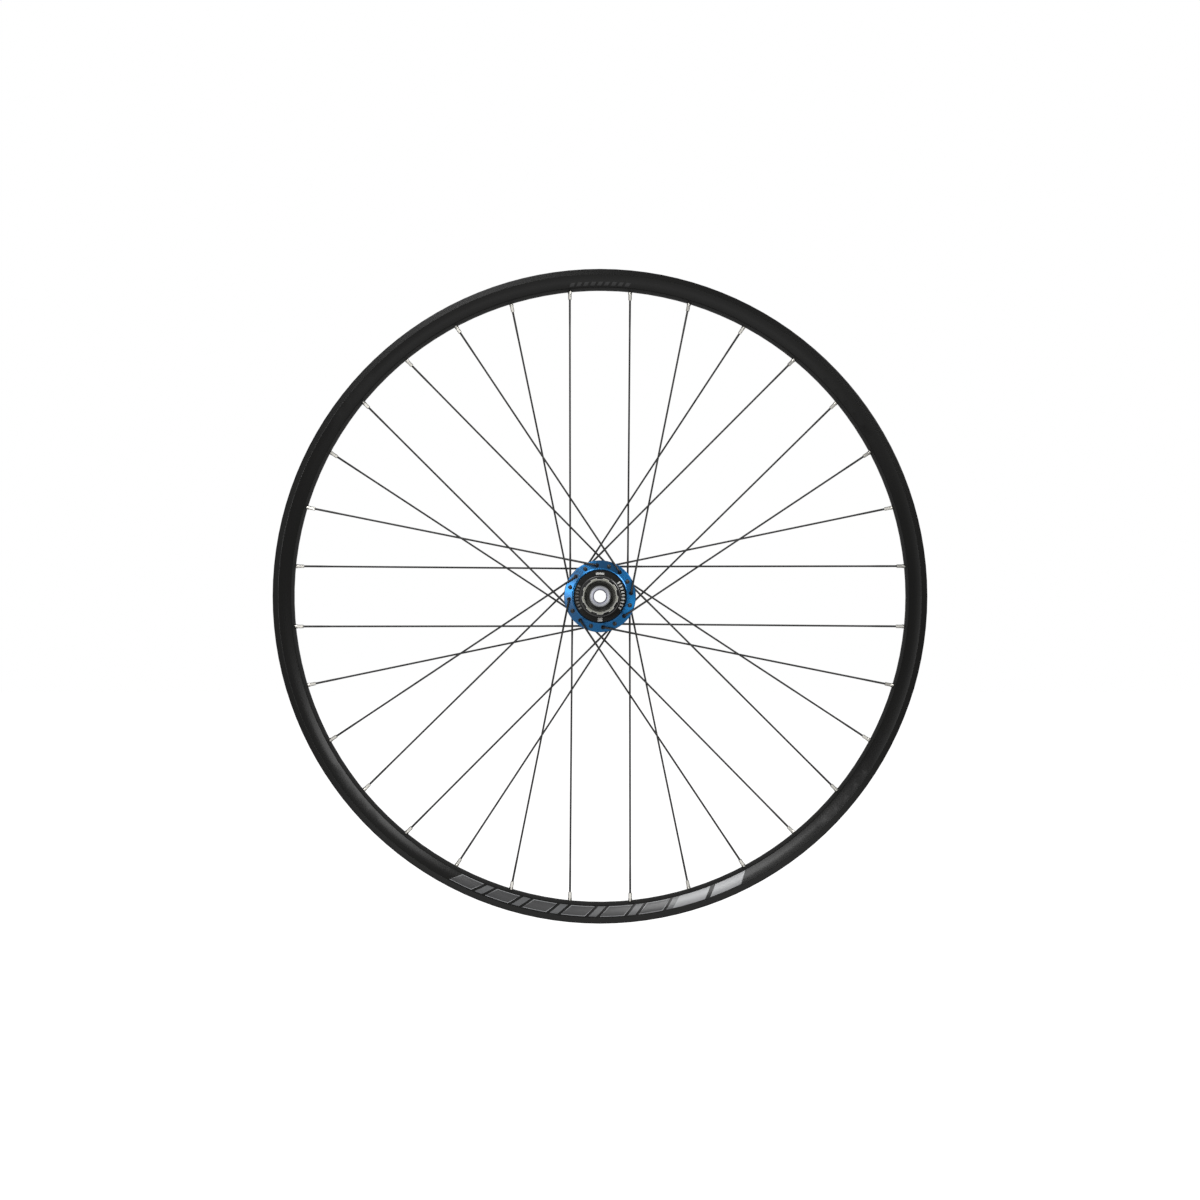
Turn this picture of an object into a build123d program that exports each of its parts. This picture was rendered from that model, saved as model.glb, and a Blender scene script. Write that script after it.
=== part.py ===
from build123d import *
import os
from dataclasses import dataclass
from math import asin, cos, degrees, hypot, radians, sin, sqrt, tan

# Rear bicycle wheel with a crossed-spoke rim and a ratchet freehub, in millimetres.
# Origin at the wheel centre, +Y along the axle to the brake side, +X forward, +Z up to the valve hole.
# Angles rise from +X to +Z, as seen from the drive side.

# Lacing
spoke_count = 32
spoke_crossings = 3
rim_hole_stagger = 2.5

# Rim section
bead_seat_diameter = 622.0
rim_inner_width = 26.0
rim_flange_height = 6.0
rim_flange_thickness = 2.1
rim_depth = 19.6
rim_crease_rise = 0.4
rim_crease_bulge = 0.5
rim_shoulder_width = 20.4
rim_shoulder_drop = 2.4
rim_wall_bulge = 0.6
rim_bed_wall = 1.05
rim_side_wall = 1.05
rim_spoke_wall = 1.8
rim_channel_width = 11.0
rim_channel_depth = 3.6
rim_channel_slope = 3.0
rim_crease_round = 1.2
rim_shoulder_round = 2.5
rim_channel_round = 1.0
rim_access_hole_diameter = 8.4
valve_hole_diameter = 6.5

# Nipples
nipple_body_diameter = 3.9
nipple_body_length = 9.6
nipple_flat_width = 3.3
nipple_flat_length = 5.6
nipple_head_diameter = 6.0
nipple_cone_height = 1.2
nipple_head_height = 2.5
nipple_slot_width = 1.2
nipple_slot_depth = 1.0
nipple_hole_clearance = 0.25
nipple_seat_lift = 0.12
nipple_thread_clearance = 0.05

# Spokes
spoke_diameter = 2.0
spoke_thin_diameter = 1.8
spoke_elbow_rise = 3.0
spoke_elbow_length = 26.0
spoke_thread_length = 28.0
spoke_butt_taper = 10.0
spoke_crossing_gap = 0.16
spoke_crossing_bend_radius = 40.0
spoke_end_margin = 1.1
spoke_head_diameter = 3.8
spoke_head_cone = 0.75
spoke_head_side = 0.3
spoke_head_dome = 0.5
spoke_head_clearance = 0.06

# Hub shell
over_locknut_width = 148.0
drive_hole_circle = 60.0
brake_hole_circle = 57.0
drive_flange_offset = 23.0
brake_flange_offset = 34.5
flange_thickness = 3.2
flange_edge_margin = 4.7
flange_taper = 0.07
flange_edge_round = 0.6
hub_spoke_hole_diameter = 2.6
spoke_hole_sink = 0.7
drive_drum_diameter = 54.6
drive_drum_floor = 2.5
hub_barrel_diameter = 38.0
hub_corner_round = 2.5
hub_through_bore = 26.0
hub_mouth_diameter = 50.8
hub_mouth_chamfer = 0.4
hub_lip_width = 1.0
hub_lip_height = 0.45

# Rotor mount
rotor_face_offset = 55.2
rotor_bolt_circle = 44.0
rotor_bolt_count = 6
rotor_bolt_hole_diameter = 4.2
rotor_bolt_depth = 10.0
rotor_lobe_diameter = 10.6
rotor_mount_diameter = 41.0
rotor_mount_depth = 8.0
rotor_spigot_diameter = 34.9
rotor_spigot_length = 3.0

# Bearings
drive_bearing_setback = 1.5
axle_diameter = 17.0
large_bearing_outside = 30.0
large_bearing_width = 7.0
large_ball_diameter = 4.0
large_ball_count = 12
small_bearing_outside = 26.0
small_bearing_width = 5.0
small_ball_diameter = 2.6
small_ball_count = 16
race_land_share = 0.55
race_chamfer = 0.3
ball_clearance = 0.06
cage_thickness = 0.7
cage_margin = 0.4
bearing_seal_thickness = 0.5
bearing_seal_gap = 0.15
press_clearance = 0.02

# Axle and end caps
axle_wall = 1.15
axle_shoulder_diameter = 20.0
cap_diameter = 20.0
cap_bore = 12.2
cap_stub_length = 12.0
cap_stub_clearance = 0.05
cap_edge_chamfer = 0.9
cap_bore_chamfer = 0.6
cap_ring_width = 1.2
cap_ring_depth = 0.55
drive_cap_length = 14.0
brake_cap_length = 19.0

# Freehub body
freehub_end_recess = 4.5
spline_length = 35.0
spline_tip_diameter = 34.5
spline_root_diameter = 32.2
spline_count = 9
spline_width = 6.1
spline_narrow_width = 3.0
spline_first_angle = -89.6
spline_end_chamfer = 0.4
spline_narrow_index = 6
spline_narrow_shift = 5.0
stop_flange_diameter = 39.0
stop_flange_thickness = 2.5
stop_flange_chamfer = 0.4
freehub_neck_diameter = 34.0
freehub_neck_cone = 1.0
freehub_bore = 23.2
lockring_bore = 29.6
lockring_mouth_chamfer = 0.5
seal_land_diameter = 39.6
seal_width = 3.0
seal_stand_out = 1.0
seal_edge_chamfer = 0.4
seal_running_gap = 0.25
dust_seal_thickness = 0.9
dust_seal_gap = 0.3
dust_seal_offset = 0.1
dust_seal_room = 0.3

# Ratchet
ratchet_outside = 49.2
ratchet_width = 10.4
ratchet_teeth = 60
ratchet_tip_diameter = 42.8
ratchet_root_diameter = 45.2
ratchet_end_gap = 0.5
pawl_drum_diameter = 41.6
pawl_drum_width = 10.6
pawl_count = 6
first_pawl_angle = 30.0
pawl_width = 6.0
pawl_pivot_circle = 37.4
pawl_heel_diameter = 3.0
pawl_reach = 6.2
pawl_nose_depth = 1.9
pawl_swing = 8.5
pawl_clearance = 0.1
pawl_tooth_clearance = 0.65
pawl_tooth_slack = 0.65
pawl_side_clearance = 0.1
pocket_front_gap = 0.3
spring_thickness = 0.25
spring_width = 3.0
spring_slot_depth = 0.65
spring_bend_radius = 0.35
spring_touch_gap = 0.08
spring_contact_share = 0.8

# Rim values that follow
bead_seat_radius = bead_seat_diameter / 2
rim_tip_radius = bead_seat_radius + rim_flange_height
rim_tip_half = rim_inner_width / 2 + rim_flange_thickness
spoke_bed_radius = rim_tip_radius - rim_depth
crease_radius = bead_seat_radius + rim_crease_rise
crease_half = rim_tip_half + rim_crease_bulge
shoulder_radius = spoke_bed_radius + rim_shoulder_drop
shoulder_half = rim_shoulder_width / 2
bed_curve = (shoulder_half**2 + rim_shoulder_drop**2) / (2 * rim_shoulder_drop)
channel_radius = bead_seat_radius - rim_channel_depth
channel_half = rim_channel_width / 2
shelf_half = channel_half + rim_channel_slope

# Hub values that follow
half_flange = flange_thickness / 2
drive_end = -over_locknut_width / 2
brake_end = over_locknut_width / 2
axle_drive_end = drive_end + drive_cap_length
axle_brake_end = brake_end - brake_cap_length
small_bearing_y = axle_drive_end + small_bearing_width / 2
brake_bearing_y = axle_brake_end - large_bearing_width / 2
freehub_outer_end = drive_end + freehub_end_recess
stop_flange_y = freehub_outer_end + spline_length
drive_flange_face = -drive_flange_offset - half_flange
seal_seat_y = drive_flange_face - seal_stand_out + seal_width
freehub_inner_end = seal_seat_y + pawl_drum_width
ratchet_floor_y = freehub_inner_end + ratchet_end_gap
freehub_bearing_y = freehub_inner_end - ratchet_end_gap - large_bearing_width / 2
drive_bearing_y = ratchet_floor_y + drive_bearing_setback + large_bearing_width / 2
drive_drum_end = ratchet_floor_y + drive_drum_floor
pawl_y = seal_seat_y + pawl_drum_width / 2
bearing_seat_radius = large_bearing_outside / 2 + press_clearance
small_seat_radius = small_bearing_outside / 2 + press_clearance
axle_radius = axle_diameter / 2
cap_stub_radius = axle_radius - axle_wall - cap_stub_clearance

# Ratchet values that follow
pivot_radius = pawl_pivot_circle / 2
heel_radius = pawl_heel_diameter / 2
nose_radius = ratchet_root_diameter / 2 - pawl_tooth_clearance
nose_angle = degrees(asin(pawl_reach / nose_radius))
nose_foot_radius = nose_radius - pawl_nose_depth
tooth_pitch = 360 / ratchet_teeth
tooth_face_angle = -nose_angle - degrees(pawl_tooth_slack / nose_radius)

os.makedirs("parts", exist_ok=True)


def save(builder, label):
    """Label a finished piece and write it."""
    builder.part.label = label
    export_step(builder.part, f"parts/{label}.step")


def cross_plane(y):
    """Plane across the axle at height y, facing the drive side, with X and Z as its own axes."""
    return Plane.XZ.offset(-y)


def on_wheel(radius, angle, y):
    """Point at a radius and angle about the axle."""
    return Vector(radius * cos(radians(angle)), y, radius * sin(radians(angle)))


def turned_about_axle(step_angle, count, first=0.0):
    """Locations that turn a piece about the axle by equal steps of rising angle."""
    return [Location((0, 0, 0), (0, -(first + step_angle * i), 0)) for i in range(count)]


def corner_near(builder, radius, y):
    """Corner of a turned profile nearest to a radius and a height along the axle."""
    return builder.vertices().sort_by_distance((radius, y, 0))[0]


def turned_piece(*profile):
    """Solid of revolution about the axle from corners given as radius and height."""
    with BuildPart() as piece:
        with BuildSketch(Plane.XY):
            with BuildLine():
                Polyline(*profile, close=True)
            make_face()
        revolve(axis=Axis.Y)
    return piece


def turned_tube(inner_radius, outer_radius, start, end):
    """Plain turned tube."""
    corners = [(inner_radius, start), (outer_radius, start), (outer_radius, end), (inner_radius, end)]
    return turned_piece(*corners)


# Lacing

@dataclass
class SpokeRun:
    """Points that one spoke runs through, from its head to its threaded end."""

    head: Vector
    elbow: Vector
    crossing: Vector
    seat: Vector
    head_direction: Vector

    @property
    def rim_direction(self):
        return (self.seat - self.crossing).normalized()

    @property
    def hub_direction(self):
        return (self.crossing - self.elbow).normalized()


def bed_inside_radius(y):
    """Radius of the inner face of the spoke bed at a distance from the middle of the rim."""
    return spoke_bed_radius + bed_curve - sqrt((bed_curve - rim_spoke_wall) ** 2 - y**2)


def bed_outside_radius(y):
    """Radius of the outer face of the spoke bed at a distance from the middle of the rim."""
    return spoke_bed_radius + bed_curve - sqrt(bed_curve**2 - y**2)


side_count = spoke_count // 2
spoke_pitch = 360 / spoke_count
spoke_lead = spoke_crossings * 360 / side_count
crossing_lead = (spoke_crossings - 0.5) * 360 / side_count
seat_radius = bed_inside_radius(rim_hole_stagger)
drive_hole_radius = drive_hole_circle / 2
brake_hole_radius = brake_hole_circle / 2
drive_first_hole = spoke_pitch / 2
brake_first_hole = drive_first_hole + spoke_pitch
outer_spoke_step = 2 * spoke_pitch


def lace(side, flange_offset, hole_radius, nipple_angle, turn, elbow_side):
    """Run of one spoke: side is -1 drive or +1 brake, turn is the way round from hub to rim."""
    hole_angle = nipple_angle - turn * spoke_lead
    flange_y = side * flange_offset
    seat_y = side * rim_hole_stagger
    elbow_y = flange_y + side * elbow_side * (half_flange + spoke_elbow_rise)
    run_x = seat_radius * cos(radians(spoke_lead)) - hole_radius
    run_z = seat_radius * sin(radians(spoke_lead))
    way_x = cos(radians(crossing_lead))
    way_z = sin(radians(crossing_lead))
    share = hole_radius * way_z / (run_z * way_x - run_x * way_z)
    crossing_radius = hypot(hole_radius + share * run_x, share * run_z)
    mean_y = flange_y + share * (seat_y - flange_y)
    crossing_y = mean_y - side * elbow_side * (spoke_thin_diameter + spoke_crossing_gap) / 2
    return SpokeRun(
        head=on_wheel(hole_radius, hole_angle, flange_y - side * elbow_side * half_flange),
        elbow=on_wheel(hole_radius, hole_angle, elbow_y),
        crossing=on_wheel(crossing_radius, hole_angle + turn * crossing_lead, crossing_y),
        seat=on_wheel(seat_radius, nipple_angle, seat_y),
        head_direction=Vector(0, -side * elbow_side, 0),
    )


drive_side = (-1, drive_flange_offset, drive_hole_radius)
brake_side = (1, brake_flange_offset, brake_hole_radius)
spoke_runs = {
    "spokes_drive_outer": lace(*drive_side, drive_first_hole + outer_spoke_step, 1, 1),
    "spokes_drive_inner": lace(*drive_side, drive_first_hole, -1, -1),
    "spokes_brake_outer": lace(*brake_side, brake_first_hole + outer_spoke_step, 1, 1),
    "spokes_brake_inner": lace(*brake_side, brake_first_hole, -1, -1),
}
set_count = spoke_count // len(spoke_runs)
set_turns = turned_about_axle(360 / set_count, set_count)


def nipple_places(run):
    """Places of the nipples of one spoke set, with Z along the spoke towards the tyre."""
    seat = Plane(origin=run.seat, x_dir=(0, 1, 0), z_dir=run.rim_direction)
    return [turn * seat.location for turn in set_turns]


drive_nipple_places = nipple_places(spoke_runs["spokes_drive_outer"])
drive_nipple_places += nipple_places(spoke_runs["spokes_drive_inner"])
brake_nipple_places = nipple_places(spoke_runs["spokes_brake_outer"])
brake_nipple_places += nipple_places(spoke_runs["spokes_brake_inner"])
nipple_hole_radius = nipple_body_diameter / 2 + nipple_hole_clearance

# Rim

wall_slope = (shoulder_half - crease_half) / (shoulder_radius - crease_radius)


def side_wall_inside(radius):
    """Distance of the inner face of the side wall from the middle of the rim."""
    return crease_half + wall_slope * (radius - crease_radius) - rim_side_wall * hypot(1, wall_slope)


wall_length = hypot(crease_radius - shoulder_radius, crease_half - shoulder_half)
wall_bow_in = rim_wall_bulge * (crease_half - shoulder_half) / wall_length
wall_bow_out = rim_wall_bulge * (crease_radius - shoulder_radius) / wall_length
wall_middle_radius = (crease_radius + shoulder_radius) / 2
wall_middle_half = (crease_half + shoulder_half) / 2
tip_round = rim_flange_thickness / 2
cavity_floor = shoulder_radius + rim_spoke_wall
cavity_floor_half = side_wall_inside(cavity_floor)
cavity_shelf = bead_seat_radius - rim_bed_wall
cavity_channel = channel_radius - rim_bed_wall
cavity_middle = (cavity_shelf + bed_inside_radius(cavity_floor_half)) / 2

with BuildPart() as rim:
    with BuildSketch(Plane.XY) as rim_section:
        with BuildLine():
            Polyline(
                (channel_radius, 0),
                (channel_radius, channel_half),
                (bead_seat_radius, shelf_half),
                (bead_seat_radius, rim_inner_width / 2),
                (rim_tip_radius - tip_round, rim_inner_width / 2),
            )
            ThreePointArc(
                (rim_tip_radius - tip_round, rim_inner_width / 2),
                (rim_tip_radius, rim_tip_half - tip_round),
                (rim_tip_radius - tip_round, rim_tip_half),
            )
            Line((rim_tip_radius - tip_round, rim_tip_half), (crease_radius, crease_half))
            ThreePointArc(
                (crease_radius, crease_half),
                (wall_middle_radius - wall_bow_in, wall_middle_half + wall_bow_out),
                (shoulder_radius, shoulder_half),
            )
            ThreePointArc(
                (shoulder_radius, shoulder_half),
                (bed_outside_radius(shoulder_half / 2), shoulder_half / 2),
                (spoke_bed_radius, 0),
            )
            mirror(about=Plane.XZ)
        make_face()
        for mirror_side in (-1, 1):
            fillet(corner_near(rim_section, crease_radius, mirror_side * crease_half), rim_crease_round)
            fillet(corner_near(rim_section, shoulder_radius, mirror_side * shoulder_half), rim_shoulder_round)
            fillet(corner_near(rim_section, bead_seat_radius, mirror_side * shelf_half), rim_channel_round)
        with BuildLine():
            Polyline(
                (cavity_channel, 0),
                (cavity_channel, channel_half),
                (cavity_shelf, shelf_half),
                (cavity_shelf, side_wall_inside(cavity_shelf)),
            )
            ThreePointArc(
                (cavity_shelf, side_wall_inside(cavity_shelf)),
                (cavity_middle - wall_bow_in, side_wall_inside(cavity_middle) + wall_bow_out),
                (bed_inside_radius(cavity_floor_half), cavity_floor_half),
            )
            ThreePointArc(
                (bed_inside_radius(cavity_floor_half), cavity_floor_half),
                (bed_inside_radius(cavity_floor_half / 2), cavity_floor_half / 2),
                (bed_inside_radius(0), 0),
            )
            mirror(about=Plane.XZ)
        make_face(mode=Mode.SUBTRACT)
    revolve(axis=Axis.Y)
    with Locations(*drive_nipple_places, *brake_nipple_places):
        with Locations((0, 0, -rim_spoke_wall)):
            Cylinder(nipple_hole_radius, 3 * rim_spoke_wall, mode=Mode.SUBTRACT)
        with Locations((0, 0, cavity_channel - seat_radius - 2 * rim_bed_wall)):
            Cylinder(
                rim_access_hole_diameter / 2,
                rim_flange_height + rim_channel_depth + 2 * rim_bed_wall,
                align=(Align.CENTER, Align.CENTER, Align.MIN),
                mode=Mode.SUBTRACT,
            )
    with Locations((0, 0, spoke_bed_radius - rim_spoke_wall)):
        Cylinder(
            valve_hole_diameter / 2,
            rim_depth,
            align=(Align.CENTER, Align.CENTER, Align.MIN),
            mode=Mode.SUBTRACT,
        )
save(rim, "rim")

# Nipples

with BuildPart() as nipple:
    with BuildSketch(Plane.XZ):
        with BuildLine():
            Polyline(
                (spoke_diameter / 2 + nipple_thread_clearance, -nipple_body_length),
                (nipple_body_diameter / 2, -nipple_body_length),
                (nipple_body_diameter / 2, 0),
                (nipple_head_diameter / 2, nipple_cone_height),
                (nipple_head_diameter / 2, nipple_head_height),
                (spoke_diameter / 2 + nipple_thread_clearance, nipple_head_height),
                close=True,
            )
        make_face()
    revolve(axis=Axis.Z)
    with BuildSketch(Plane.XY.offset(-nipple_body_length)):
        Circle(nipple_body_diameter)
        Rectangle(nipple_flat_width, nipple_flat_width, mode=Mode.SUBTRACT)
    extrude(amount=nipple_flat_length, mode=Mode.SUBTRACT)
    with BuildSketch(Plane.XY.offset(nipple_head_height)):
        Rectangle(nipple_head_diameter, nipple_slot_width)
    extrude(amount=-nipple_slot_depth, mode=Mode.SUBTRACT)

nipple_lift = Location((0, 0, nipple_seat_lift))

with BuildPart() as nipples_drive:
    with Locations(*[place * nipple_lift for place in drive_nipple_places]):
        add(nipple.part)
save(nipples_drive, "nipples_drive")

with BuildPart() as nipples_brake:
    with Locations(*[place * nipple_lift for place in brake_nipple_places]):
        add(nipple.part)
save(nipples_brake, "nipples_brake")

# Spokes

head_seat_radius = hub_spoke_hole_diameter / 2 - spoke_head_clearance
head_side_radius = spoke_head_diameter / 2
head_cone_slope = spoke_head_cone / (head_side_radius - head_seat_radius)
head_sink = (head_seat_radius - spoke_diameter / 2) * head_cone_slope
head_side_end = spoke_head_cone + spoke_head_side
head_end = head_side_end + spoke_head_dome
dome_curve = (head_side_radius**2 + spoke_head_dome**2) / (2 * spoke_head_dome)
dome_middle = head_end - dome_curve + sqrt(dome_curve**2 - head_side_radius**2 / 4)


def make_spoke(run):
    """One double-butted spoke: domed head, elbow, thin middle bent at the crossing, threaded end."""
    turn_angle = (-run.head_direction).get_angle(run.hub_direction)
    elbow_radius = spoke_elbow_rise / tan(radians(turn_angle / 2))
    butt_start = run.elbow + run.hub_direction * spoke_elbow_length
    butt_end = butt_start + run.hub_direction * spoke_butt_taper
    thread_start = run.seat - run.rim_direction * spoke_thread_length
    thread_taper = thread_start - run.rim_direction * spoke_butt_taper
    thread_reach = spoke_thread_length + nipple_head_height - spoke_end_margin
    from_base = (Align.CENTER, Align.CENTER, Align.MIN)
    with BuildPart() as spoke:
        with BuildLine() as elbow_path:
            FilletPolyline(run.head, run.elbow, butt_start, radius=elbow_radius)
        with BuildSketch(Plane(origin=run.head, z_dir=-run.head_direction)):
            Circle(spoke_diameter / 2)
        sweep(path=elbow_path.line)
        with Locations(Plane(origin=butt_start, z_dir=run.hub_direction)):
            Cone(spoke_diameter / 2, spoke_thin_diameter / 2, spoke_butt_taper, align=from_base)
        with BuildLine() as crossing_path:
            FilletPolyline(butt_end, run.crossing, thread_taper, radius=spoke_crossing_bend_radius)
        with BuildSketch(Plane(origin=butt_end, z_dir=run.hub_direction)):
            Circle(spoke_thin_diameter / 2)
        sweep(path=crossing_path.line)
        with Locations(Plane(origin=thread_taper, z_dir=run.rim_direction)):
            Cone(spoke_thin_diameter / 2, spoke_diameter / 2, spoke_butt_taper, align=from_base)
        with Locations(Plane(origin=thread_start, z_dir=run.rim_direction)):
            Cylinder(spoke_diameter / 2, thread_reach, align=from_base)
        with BuildSketch(Plane(origin=run.head, x_dir=(1, 0, 0), z_dir=(0, 0, run.head_direction.Y))):
            with BuildLine():
                Polyline(
                    (0, -head_sink),
                    (spoke_diameter / 2, -head_sink),
                    (head_side_radius, spoke_head_cone),
                    (head_side_radius, head_side_end),
                )
                ThreePointArc(
                    (head_side_radius, head_side_end),
                    (head_side_radius / 2, dome_middle),
                    (0, head_end),
                )
                Line((0, head_end), (0, -head_sink))
            make_face()
        revolve(axis=Axis(run.head, run.head_direction))
    return spoke


for spoke_label, spoke_run in spoke_runs.items():
    single_spoke = make_spoke(spoke_run)
    with BuildPart() as spoke_set:
        with Locations(*set_turns):
            add(single_spoke.part)
    save(spoke_set, spoke_label)

# Hub shell

drive_edge_radius = drive_hole_radius + flange_edge_margin
brake_edge_radius = brake_hole_radius + flange_edge_margin
drum_radius = drive_drum_diameter / 2
barrel_radius = hub_barrel_diameter / 2
mouth_radius = hub_mouth_diameter / 2
lip_radius = mouth_radius + hub_lip_width
lip_foot_radius = lip_radius + hub_lip_height
ratchet_seat_radius = ratchet_outside / 2 + press_clearance
barrel_start = drive_drum_end + drum_radius - barrel_radius
spigot_end = rotor_face_offset + rotor_spigot_length
drive_bearing_floor = drive_bearing_y + large_bearing_width / 2
brake_bearing_floor = brake_bearing_y - large_bearing_width / 2


def drive_flange_y(radius, face):
    """Height of a face of the drive flange, which thins towards its edge: face is -1 out or +1 in."""
    return -drive_flange_offset + face * (half_flange - flange_taper * (radius - drive_hole_radius))


def brake_flange_y(radius, face):
    """Height of a face of the brake flange, which thins towards its edge: face is +1 out or -1 in."""
    return brake_flange_offset + face * (half_flange - flange_taper * (radius - brake_hole_radius))


lip_face_y = drive_flange_y(lip_foot_radius, -1) - hub_lip_height

with BuildPart() as hub_shell:
    with BuildSketch(Plane.XY) as hub_section:
        with BuildLine():
            Polyline(
                (mouth_radius, lip_face_y),
                (lip_radius, lip_face_y),
                (lip_foot_radius, drive_flange_y(lip_foot_radius, -1)),
                (drive_edge_radius, drive_flange_y(drive_edge_radius, -1)),
                (drive_edge_radius, drive_flange_y(drive_edge_radius, 1)),
                (drum_radius, drive_flange_y(drum_radius, 1)),
                (drum_radius, drive_drum_end),
                (barrel_radius, barrel_start),
                (barrel_radius, brake_flange_y(barrel_radius, -1)),
                (brake_edge_radius, brake_flange_y(brake_edge_radius, -1)),
                (brake_edge_radius, brake_flange_y(brake_edge_radius, 1)),
                (barrel_radius, brake_flange_y(barrel_radius, 1)),
                (barrel_radius, rotor_face_offset),
                (rotor_spigot_diameter / 2, rotor_face_offset),
                (rotor_spigot_diameter / 2, spigot_end),
                (bearing_seat_radius, spigot_end),
                (bearing_seat_radius, brake_bearing_floor),
                (hub_through_bore / 2, brake_bearing_floor),
                (hub_through_bore / 2, drive_bearing_floor),
                (bearing_seat_radius, drive_bearing_floor),
                (bearing_seat_radius, ratchet_floor_y),
                (ratchet_seat_radius, ratchet_floor_y),
                (ratchet_seat_radius, seal_seat_y),
                (mouth_radius, seal_seat_y),
                close=True,
            )
        make_face()
        for face in (-1, 1):
            fillet(
                corner_near(hub_section, drive_edge_radius, drive_flange_y(drive_edge_radius, face)),
                flange_edge_round,
            )
            fillet(
                corner_near(hub_section, brake_edge_radius, brake_flange_y(brake_edge_radius, face)),
                flange_edge_round,
            )
            fillet(
                corner_near(hub_section, barrel_radius, brake_flange_y(barrel_radius, face)),
                hub_corner_round,
            )
        fillet(corner_near(hub_section, drum_radius, drive_drum_end), hub_corner_round)
        fillet(corner_near(hub_section, barrel_radius, barrel_start), hub_corner_round)
        chamfer(corner_near(hub_section, mouth_radius, lip_face_y), hub_mouth_chamfer)
    revolve(axis=Axis.Y)
    with BuildSketch(cross_plane(rotor_face_offset)):
        Circle(rotor_mount_diameter / 2)
        with PolarLocations(rotor_bolt_circle / 2, rotor_bolt_count):
            Circle(rotor_lobe_diameter / 2)
        Circle(bearing_seat_radius, mode=Mode.SUBTRACT)
    extrude(amount=rotor_mount_depth)
    with BuildSketch(cross_plane(rotor_face_offset)):
        with PolarLocations(rotor_bolt_circle / 2, rotor_bolt_count):
            Circle(rotor_bolt_hole_diameter / 2)
    extrude(amount=rotor_bolt_depth, mode=Mode.SUBTRACT)
    with BuildSketch(cross_plane(-drive_flange_offset)):
        with PolarLocations(drive_hole_radius, side_count, start_angle=drive_first_hole):
            Circle(hub_spoke_hole_diameter / 2)
    extrude(amount=flange_thickness, both=True, mode=Mode.SUBTRACT)
    with BuildSketch(cross_plane(brake_flange_offset)):
        with PolarLocations(brake_hole_radius, side_count, start_angle=brake_first_hole):
            Circle(hub_spoke_hole_diameter / 2)
    extrude(amount=flange_thickness, both=True, mode=Mode.SUBTRACT)
    for run in spoke_runs.values():
        elbow_point = run.head - run.head_direction * flange_thickness
        elbow_mouth = Plane(origin=elbow_point, z_dir=-run.head_direction)
        with Locations(*[turn * elbow_mouth.location for turn in set_turns]):
            Cone(
                hub_spoke_hole_diameter / 2 - spoke_hole_sink,
                hub_spoke_hole_diameter / 2 + spoke_hole_sink,
                2 * spoke_hole_sink,
                mode=Mode.SUBTRACT,
            )
save(hub_shell, "hub_shell")

# Bearings


def make_bearing(label, outside, width, ball_diameter, ball_count, y):
    """Cartridge bearing: outer race, inner race, balls in a cage and a seal on each face."""
    pitch_radius = (axle_diameter + outside) / 4
    ball_radius = ball_diameter / 2
    land = race_land_share * ball_radius
    half_width = width / 2
    with BuildPart() as outer_race:
        with BuildSketch(Plane.XY) as outer_section:
            with Locations(((pitch_radius + land + outside / 2) / 2, y)):
                Rectangle(outside / 2 - pitch_radius - land, width)
            for end in (-1, 1):
                chamfer(corner_near(outer_section, outside / 2, y + end * half_width), race_chamfer)
            with Locations((pitch_radius, y)):
                Circle(ball_radius + ball_clearance, mode=Mode.SUBTRACT)
        revolve(axis=Axis.Y)
    save(outer_race, f"{label}_outer_race")
    with BuildPart() as inner_race:
        with BuildSketch(Plane.XY) as inner_section:
            with Locations(((pitch_radius - land + axle_radius + press_clearance) / 2, y)):
                Rectangle(pitch_radius - land - axle_radius - press_clearance, width)
            for end in (-1, 1):
                chamfer(corner_near(inner_section, axle_radius, y + end * half_width), race_chamfer)
            with Locations((pitch_radius, y)):
                Circle(ball_radius + ball_clearance, mode=Mode.SUBTRACT)
        revolve(axis=Axis.Y)
    save(inner_race, f"{label}_inner_race")
    with BuildPart() as balls:
        with BuildSketch(cross_plane(y)):
            Circle(pitch_radius + cage_thickness / 2)
            Circle(pitch_radius - cage_thickness / 2, mode=Mode.SUBTRACT)
        extrude(amount=ball_radius + cage_margin, both=True)
        ball_turns = turned_about_axle(360 / ball_count, ball_count)
        with Locations(*[turn * Location((pitch_radius, y, 0), (0, 90, 0)) for turn in ball_turns]):
            Cylinder(ball_radius + ball_clearance, 4 * cage_thickness, mode=Mode.SUBTRACT)
        with Locations(*[turn * Location((pitch_radius, y, 0)) for turn in ball_turns]):
            Sphere(ball_radius)
    save(balls, f"{label}_balls")
    with BuildPart() as seals:
        for end in (-1, 1):
            seal_y = y + end * (half_width - bearing_seal_thickness)
            with BuildSketch(cross_plane(seal_y)):
                Circle(pitch_radius + land - press_clearance)
                Circle(pitch_radius - land + bearing_seal_gap, mode=Mode.SUBTRACT)
            extrude(amount=bearing_seal_thickness / 2, both=True)
    save(seals, f"{label}_seals")


large_bearing = (large_bearing_outside, large_bearing_width, large_ball_diameter, large_ball_count)
small_bearing = (small_bearing_outside, small_bearing_width, small_ball_diameter, small_ball_count)
make_bearing("hub_drive_bearing", *large_bearing, drive_bearing_y)
make_bearing("hub_brake_bearing", *large_bearing, brake_bearing_y)
make_bearing("freehub_inner_bearing", *large_bearing, freehub_bearing_y)
make_bearing("freehub_outer_bearing", *small_bearing, small_bearing_y)

# Axle, spacers and end caps

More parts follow.
